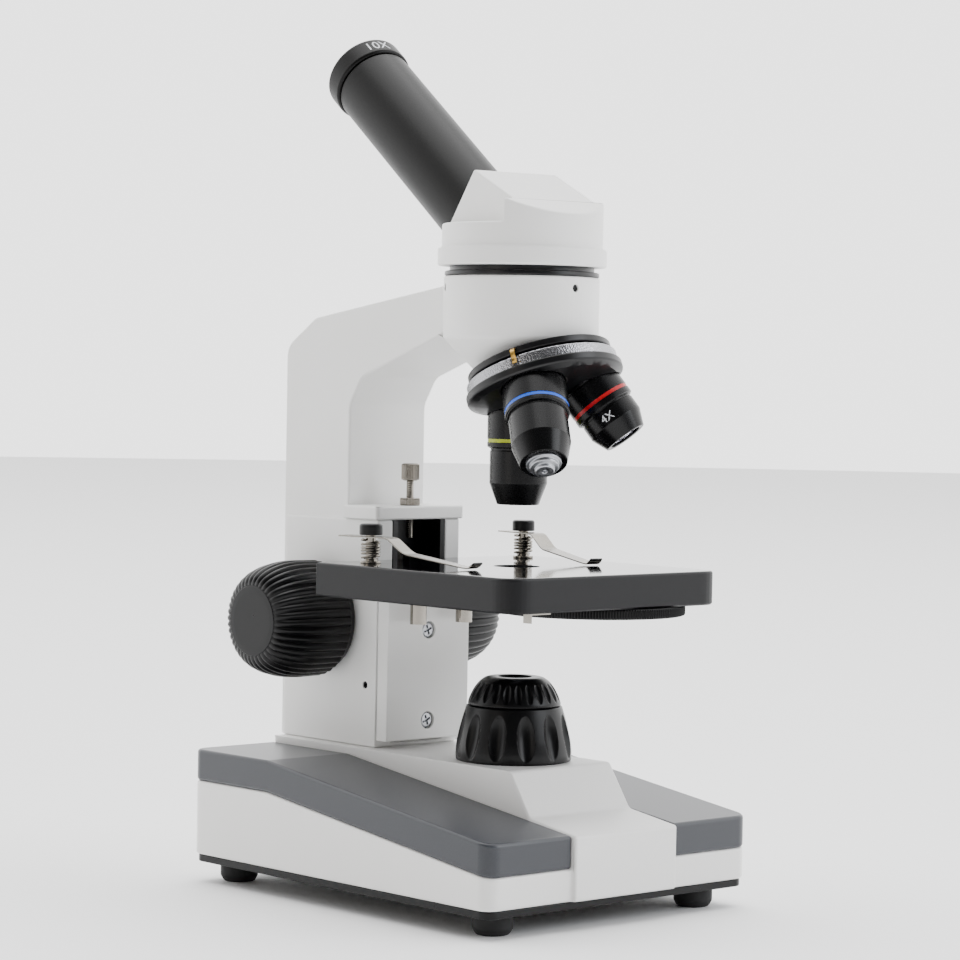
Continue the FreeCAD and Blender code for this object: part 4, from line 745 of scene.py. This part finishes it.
clip_spots = {side: place_of("clip_%s_swing" % side) * [1, 1, 0] + [0, 0, stage_top]
              for side in ("left", "right")}
leaf_high = reach("clip_leaf_left")[1][2] - stage_top - 0.6
post = turned(eased([(0, -3), (2, -3), (2, 0), (4.1, 0), (4.1, 0.9), (2.6, 1.0), (2.6, 1.7), (2.0, 1.8),
                     (2, leaf_high + 4.2), (0, leaf_high + 4.2)], 0.15), 48)
button = turned(eased([(0, leaf_high + 1.0), (4.45, leaf_high + 1.0),
                       (4.5, leaf_high + 1.4), (4.5, leaf_high + 4.7),
                       (3.9, leaf_high + 5.3), (0, leaf_high + 5.3)], 0.5), 64)
coil = helix(3.4, 0.5, 1.5, leaf_high - 0.7, 5.5)
for label, part, material, node, slot in (
        ("clip_pins", post, nickel, "clip_posts", "nickel"),
        ("clip_buttons", button, black_mould, "clip_caps", "black_plastic"),
        ("clip_coils", coil, nickel, "clip_springs", "spring_steel")):
    pair = joined(*[moved(part, clip_spots[side]) for side in clip_spots])
    show(label, pair, material, "stage", [node], crisp=60)
strip = [(13.5, leaf_high), (-10.5, leaf_high), (-18.5, 4.4), (-47.0, 0.45), (-50.0, 0.3), (-52.0, 1.5)]
for side, toe in (("left", 10.0), ("right", -10.0)):
    turn = spin((0, 0, 1), toe)
    points, faces = ribbon(strip[::-1], 7.0, 0.5)
    points = points * np.where(points[:, 1:2] < -30, [[0.8, 1, 1]], [[1, 1, 1]])
    show("clip_blade_" + side, moved((points, faces), clip_spots[side], turn), spring_steel,
         "clip_" + side, ["clip_leaf_" + side], crisp=50)
    tip = ribbon([(-52.9, 2.3), (-51.8, 1.5), (-50.6, 0.75)], 5.4, 0.7)
    show("clip_tip_" + side, moved(tip, clip_spots[side], turn), black_mould, "clip_" + side,
         crisp=50)

# %% [markdown]
# ## Stop screw
# A thumb screw limits how far the stage rises. Its head and its lock nut have straight
# knurling, and the shank shows its thread. The thread is a ripple along the shank that
# shifts with the angle, which makes a true screw line.

# %% Stop screw and nut
screw_low, screw_high = reach("stop_screw")
nut_low, nut_high = reach("stop_lock_nut")
stop_place = optical + [0, (screw_low[1] + screw_high[1]) / 2 - optical[1], 0]
KNURLS, PITCH = 36, 0.8


def grip_and_thread(angle, r, z):
    """Knurling where the piece is wide, thread where it is thin."""
    thread = 0.12 * np.cos(2 * math.pi * z / PITCH - angle)
    return np.where(r > 3.3, 0.16 * np.cos(KNURLS * angle), np.where((r > 1.2) & (r < 1.6), thread, 0))


neck_high = screw_high[2] - 7.0
base, crown = screw_low[2], screw_high[2]
thumb = eased([(0, base), (1.2, base), (1.48, base + 0.4), (1.48, neck_high), (2.7, neck_high),
               (3.45, neck_high + 0.6), (3.45, crown - 0.6), (2.9, crown), (0, crown)], 0.1, 2)
thumb = turned(closer(thumb, 0.16), KNURLS * 5, grip_and_thread)
show("stop_thumb_screw", moved(thumb, stop_place), nickel, "stop", ["stop_screw"], crisp=60)
nut = eased([(1.65, nut_low[2]), (3.6, nut_low[2]), (3.85, nut_low[2] + 0.3), (3.85, nut_high[2] - 0.3),
             (3.5, nut_high[2]), (1.65, nut_high[2]), (1.65, nut_low[2])], 0.1, 2)
nut = turned(closer(nut, 0.3), KNURLS * 5, grip_and_thread)
show("stop_nut", moved(nut, stop_place), nickel, "stand", ["stop_lock_nut"], crisp=60)

# %% [markdown]
# ## Nosepiece
# The nosepiece turns on a tilted axis: a fixed black flange, a bright cross-cut ring with
# a click notch, and a shallow black dome that carries three objectives.

# %% Flange, ring and dome
FLANGE = 27.6
CLICK_AT = -62
ring_top = -FLANGE - 3.9
flange = turned(eased([(2.5, -FLANGE - 3.6), (24, -FLANGE - 3.6), (28, -FLANGE - 2.6), (28.0, -FLANGE),
                       (2.5, -FLANGE), (2.5, -FLANGE - 3.6)], 0.5), 128)
show("nosepiece_collar", moved(flange, apex, turret_turn), black_paint, "stand",
     ["nosepiece_flange"])


def click_notch(angle, r, z):
    """A round dent for each objective, where the detent spring drops in."""
    off = (angle - math.radians(CLICK_AT - 90) + math.pi / 3) % (2 * math.pi / 3) - math.pi / 3
    return -1.4 * np.exp(-(off * r / 0.9) ** 2) * (r > 27)


ring = eased([(25.4, ring_top - 4), (29.2, ring_top - 4), (29.4, ring_top - 3.7),
              (29.4, ring_top - 0.4), (29.1, ring_top), (25.4, ring_top), (25.4, ring_top - 4)], 0.2)
ring = turned(closer(ring, 0.5), 480, click_notch)
show("nosepiece_ring", moved(ring, apex, turret_turn), chrome, "turret", ["turret_ring"],
     crisp=50)
click = ribbon([(-28.1, -28.4), (-30.0, -29.2), (-30.6, -31.2), (-30.1, -33.2), (-30.6, -34.6)], 1.7, -0.35)
show("click_spring", moved(click, apex, turret_turn @ spin((0, 0, 1), CLICK_AT)), brass, "stand",
     ["detent_spring"], crisp=50)
softened("turret_dome", "nosepiece_dome", black_paint, "turret", 0.5, 2)

# %% [markdown]
# ## Objectives
# Each objective is a stack of turned sections: a wide collar, a coloured ring in a
# groove, a slimmer barrel and a cone. The four-times one has an open front, and the
# forty-times one ends in a sprung, stepped steel nose with a pinhole. They share one
# function, with the lengths that differ passed in.

# %% Objective barrels
SEAT = 43.5
THREAD = -SEAT + 4.8


def barrel(label, index, collar_long, ring_at, total, cone_long, nose, material):
    """A profile from the thread down, in the objective's own frame, below the apex."""
    end = -SEAT - total
    low = -SEAT - collar_long
    band = -SEAT - ring_at
    p = [(7.0, THREAD), (7.0, end + 8), (nose - 2.0, end + 3.0), (nose - 2.0, end + 0.2),
         (nose - 0.5, end), (nose, end + 0.15), (11.15, end + cone_long), (11.15, low - 1.4),
         (10.9, low - 1.2), (10.9, low - 0.4), (11.6, low - 0.3), (11.7, low), (12.2, low + 0.2),
         (12.25, band - 0.7), (12.05, band - 0.65), (12.05, band + 0.65), (12.25, band + 0.7),
         (12.25, -SEAT - 1.2), (11.9, -SEAT - 1.0), (11.9, -SEAT - 0.5), (12.25, -SEAT - 0.3),
         (12.2, -SEAT), (9.95, -SEAT), (9.95, THREAD), (7.0, THREAD)]
    profile = eased(p, 0.12, 2)
    part = turned(profile, 128)
    middle = (profile[:-1, 1] + profile[1:, 1]) / 2
    radius = (profile[:-1, 0] + profile[1:, 0]) / 2
    paint = (np.abs(middle - band) < 0.66) & (radius > 12.0) & (radius < 12.2)
    inks = ([material], np.repeat(paint.astype(int), 128))
    show(label + "_barrel", moved(part, apex, objective_turn(index)), lacquered, "turret", [label],
         crisp=30, inks=inks)


barrel("objective_10x", 0, 15.5, 12.9, 81.0 - SEAT, 8.3, 8.1, rings["yellow"])
barrel("objective_4x", 1, 12.0, 8.9, 25.3, 6.5, 8.5, rings["red"])
barrel("objective_40x", 2, 15.5, 13.2, 37.2, 8.6, 8.9, rings["blue"])

nose_end = -SEAT - 41.0
steps = [(0, 1.4), (0.7, 1.2), (1.0, 0.1), (3.3, 0), (3.7, 0.5), (3.7, 1.3), (5.3, 1.6), (5.5, 2.0),
         (5.5, 2.9), (6.6, 3.2), (6.7, 3.6), (6.7, 9), (0, 9)]
nose = turned(eased([(r, nose_end + z) for r, z in steps], 0.25), 96)
show("sprung_nose", moved(nose, apex, objective_turn(2)), zinc, "sprung_tip", ["tip_40x"])

# %% [markdown]
# ## Head ring, tube and eyepiece
# The head turns on a two-step black ring. The tube is a plain bead-blasted cylinder, and
# the eyepiece's cap stands a little proud of it, with a dark gap between them.

# %% Head ring and tube
neck_top = 241.5
bore = 233.2
turning = [(17, bore), (24.9, bore), (24.9, neck_top + 0.15), (29.6, neck_top + 0.15),
           (29.8, neck_top + 0.5), (29.7, neck_top + 1.7), (29.2, neck_top + 1.95),
           (27.9, neck_top + 2.0), (27.8, neck_top + 3.9), (17, neck_top + 3.9), (17, bore)]
turning = turned(eased(turning, 0.2), 160)
show("head_turning_ring", moved(turning, optical), black_paint, "head", ["head_ring"])
tube_root = np.array([optical[0], optical[1], 246.5])
TUBE_WIDE, TUBE_END = 15.8, 125.0
tube_shape = [(9.9, 17.2), (11.7, 17.2), (11.7, 25.0), (TUBE_WIDE, 25.0),
              (TUBE_WIDE, TUBE_END - 0.6), (TUBE_WIDE - 0.5, TUBE_END), (11.75, TUBE_END),
              (11.75, 30.0), (9.9, 27.0), (9.9, 17.2)]
tube_shape = turned(eased(tube_shape, 0.3), 160)
show("body_tube", moved(tube_shape, tube_root, tube_turn), anodised, "head", ["eyepiece_tube"])
cap_low, cap_top = TUBE_END + 0.3, TUBE_END + 0.3 + 9.8
cup = turned(eased([(10.2, TUBE_END - 31.5), (11.55, TUBE_END - 31.5), (11.55, cap_low), (16.0, cap_low),
                    (16.5, cap_low + 0.5), (16.7, cap_low + 1.0), (16.7, cap_top - 1.3), (15.6, cap_top),
                    (11.0, cap_top), (7.5, cap_top - 1.6), (5.6, cap_top - 2.6), (5.6, cap_top - 3.8),
                    (10.2, cap_top - 4.0), (10.2, TUBE_END - 31.5)], 0.5), 160)
show("eyepiece_body", moved(cup, tube_root, tube_turn), anodised, "ocular", ["eyepiece"])

# %% [markdown]
# ## Magnification figures
# The only lettering is the plain magnification of each lens. A text curve made a mesh is
# flat, so its points are wrapped: the distance along the line becomes an angle round the
# barrel, the letter height runs along it, and the thickness becomes radius.

# %% Wrapped figures, and the place they are seen from in millimetres
eye = np.array([-822.65, -916.31, 203.59])


def figures(label, text, high, radius, along_axis, origin, turn, body, sideways=0.0):
    """Wrap text round a barrel, centred on the side nearest the viewer."""
    curve = bpy.data.curves.new(label, "FONT")
    curve.body = text
    curve.size = high
    curve.align_x = "CENTER"
    curve.extrude = 0.03
    holder = bpy.data.objects.new(label, curve)
    flat = bpy.data.meshes.new_from_object(holder)
    p = np.empty(len(flat.vertices) * 3)
    flat.vertices.foreach_get("co", p)
    p = p.reshape(-1, 3)
    towards = (eye - origin - turn @ [0, 0, along_axis]) @ turn
    middle = math.atan2(towards[1], towards[0]) + sideways
    angle = middle + p[:, 0] / radius
    r = radius + 0.02 + p[:, 2]
    wrapped = np.column_stack([r * np.cos(angle), r * np.sin(angle), along_axis + p[:, 1]])
    faces = [list(face.vertices) for face in flat.polygons]
    bpy.data.objects.remove(holder)
    bpy.data.curves.remove(curve)
    show(label, moved((wrapped, faces), origin, turn), white_ink, body,
         crisp=30, weld=0.0001)


figures("figure_4x", "4X", 4.4, 11.15, -SEAT - 17.6, apex, objective_turn(1), "turret", -0.1)
figures("figure_40x", "40X", 4.2, 11.15, -SEAT - 24.0, apex, objective_turn(2), "turret", 2.6)
figures("figure_10x", "10X", 4.2, 11.15, -SEAT - 24.0, apex, objective_turn(0), "turret", 2.6)
figures("figure_eyepiece", "10X", 6.4, 16.7, cap_low + 2.4, tube_root, tube_turn, "ocular", 0.75)

# %% [markdown]
# ## Small hardware
# Cross-head screws, a dark blackened plug in the column's flank hole whose colour is painted
# shade for the inside of the hole, and rubber feet. A cross recess is cut in the surface itself:
# the head's top is a grid of rings, and points near the two bars of the cross are pushed down.

# %% Screws and feet
BAR_HALF = 0.42


def cross_head(radius, high, shank, long):
    """A turned screw with its head up and a cross pushed into the top."""
    p = eased([(0, -long), (shank, -long), (shank, 0), (radius, 0), (radius, high * 0.55),
               (radius * 0.8, high * 0.95), (0, high)], 0.3)
    p = closer(p, 0.16)
    points, faces = turned(p, 96)
    x, y, z = points.T
    bar = np.minimum(np.abs(x), np.abs(y))
    inside_cross = (bar < BAR_HALF) & (np.hypot(x, y) < radius * 0.62) & (z > high * 0.5)
    return np.column_stack([x, y, np.where(inside_cross, z - high * 0.55, z)]), faces


front = aim((0, -1, 0))
screw_face = reach("rack_screws")[0][1] + 1.9
screws = [moved(cross_head(3.3, 1.7, 1.55, 14), [0, screw_face, z], front @ spin((0, 0, 1), 20))
          for z in (66.0, 102.0)]
# A blackened plug with a socket, set just inside the hole on the column's flank: its dark colour is painted
# shade for the inside of the hole.
shade_plug = turned(eased([(0, -3), (1.45, -3), (1.45, -0.4), (0.8, -0.4), (0.75, -1.8), (0, -1.8)], 0.1), 48)
flank = [-21.6, optical[1] + 64.0, 80.0]
show("hole_shade_plug", moved(shade_plug, flank, facing["knob_left"]), blackened, "stand")
show("rack_cross_screws", joined(*screws), zinc, "stage", ["rack_screws"], crisp=45)
low, high = reach("rubber_feet")
wide = 7.5
foot_piece = turned(eased([(2.0, 4), (4.2, 4), (4.2, 0), (6.0, 0), (6.7, 0.9), (wide, 2.4),
                           (wide, low[2] + 8), (2.0, 8), (2.0, 4)], 0.5), 64)
feet = [moved(foot_piece, [x, y, 0]) for x in (low[0] + wide, high[0] - wide)
        for y in (low[1] + wide, high[1] - wide)]
show("rubber_pads", joined(*feet), rubber, "stand", ["rubber_feet"])

# %% [markdown]
# ## Floor, light and camera
# A plain pale floor and broad soft lamps, as in a product studio: a large cool key from
# the front right, a weaker warm fill from the left, and light from above. A long lens
# far from the object keeps its uprights nearly parallel.
#
# A white wall stands behind the object and the room behind the viewer is dim, which is
# what gives polished black and bright metal their contrast.

# %% Studio
ring_far = turned([(0, -0.02), (6000.0, -0.02)], 128)
floor_mesh = bpy.data.meshes.new("studio_floor")
floor_mesh.from_pydata((ring_far[0] * METRE).tolist(), [], ring_far[1][:, ::-1].tolist())
paper, tree, shader, place = started("white_studio_paper", "F7F7F7", 0.0, 0.8)
fibre = add(tree, "TexNoise", [(place, "Vector")], Scale=cells(2), Detail=2.0)
add(tree, "Bump", [(fibre.outputs["Fac"], "Height")], Strength=0.1, Distance=0.0001,
    feeds=("Normal", shader.inputs["Normal"]))
floor_mesh.materials.append(paper)
floor = bpy.data.objects.new("studio_floor", floor_mesh)
bpy.context.scene.collection.objects.link(floor)

VIEW_AZIMUTH, VIEW_ELEVATION, VIEW_ROLL = (math.radians(angle) for angle in (-42.1, 1.91, -1.0))
backwards = np.array([math.sin(VIEW_AZIMUTH) * math.cos(VIEW_ELEVATION),
                      -math.cos(VIEW_AZIMUTH) * math.cos(VIEW_ELEVATION), math.sin(VIEW_ELEVATION)])
world = bpy.data.worlds.new("studio_air")
world.use_nodes = True
tree = world.node_tree
air = tree.nodes["Background"]
air.inputs["Color"].default_value = (1.0, 1.0, 1.0, 1.0)
ray = add(tree, "TexCoord")
room = add(tree, "VectorMath", [(ray.outputs["Generated"], 0)], operation="DOT_PRODUCT")
room.inputs[1].default_value = backwards
wall = add(tree, "MapRange", [(room.outputs["Value"], "Value")], interpolation_type="SMOOTHSTEP",
           From_Min=-0.2, From_Max=0.6, To_Min=2.8, To_Max=0.15)
tree.links.new(wall.outputs["Result"], air.inputs["Strength"])
bpy.context.scene.world = world


def softbox(name, place, target, size, power, colour):
    """A square area lamp aimed at a point."""
    lamp = bpy.data.lights.new(name, "AREA")
    lamp.size = size
    lamp.energy = power
    lamp.color = colour
    holder = bpy.data.objects.new(name, lamp)
    turn = aim(np.array(place) - np.array(target), (0.0, 0.0, 1.0))
    matrix = np.eye(4)
    matrix[:3, :3] = turn
    matrix[:3, 3] = place
    holder.matrix_world = Matrix(matrix.tolist())
    bpy.context.scene.collection.objects.link(holder)


softbox("key_front_right", (0.9, -1.8, 1.1), (0, 0, 0.15), 1.2, 24.0, (0.93, 0.96, 1.0))
softbox("fill_left", (-1.9, -0.2, 0.5), (0, 0, 0.15), 0.8, 3.0, (1.0, 0.94, 0.86))
softbox("top_light", (0.3, 0.5, 3.2), (0.3, 0.4, 0.1), 3.4, 100.0, (1.0, 1.0, 1.0))

# %% Camera
right = np.array([math.cos(VIEW_AZIMUTH), math.sin(VIEW_AZIMUTH), 0.0])
down = np.cross(-backwards, right)
leaned_right = right * math.cos(VIEW_ROLL) + down * math.sin(VIEW_ROLL)
leaned_down = -right * math.sin(VIEW_ROLL) + down * math.cos(VIEW_ROLL)
lens = bpy.data.cameras.new("camera")
lens.lens = 117.9
lens.sensor_width = 36.0
lens.clip_end = 50.0
camera = bpy.data.objects.new("camera", lens)
matrix = np.eye(4)
matrix[:3, :3] = np.column_stack([leaned_right, -leaned_down, backwards])
matrix[:3, 3] = eye * METRE
camera.matrix_world = Matrix(matrix.tolist())
bpy.context.scene.collection.objects.link(camera)
bpy.context.scene.camera = camera
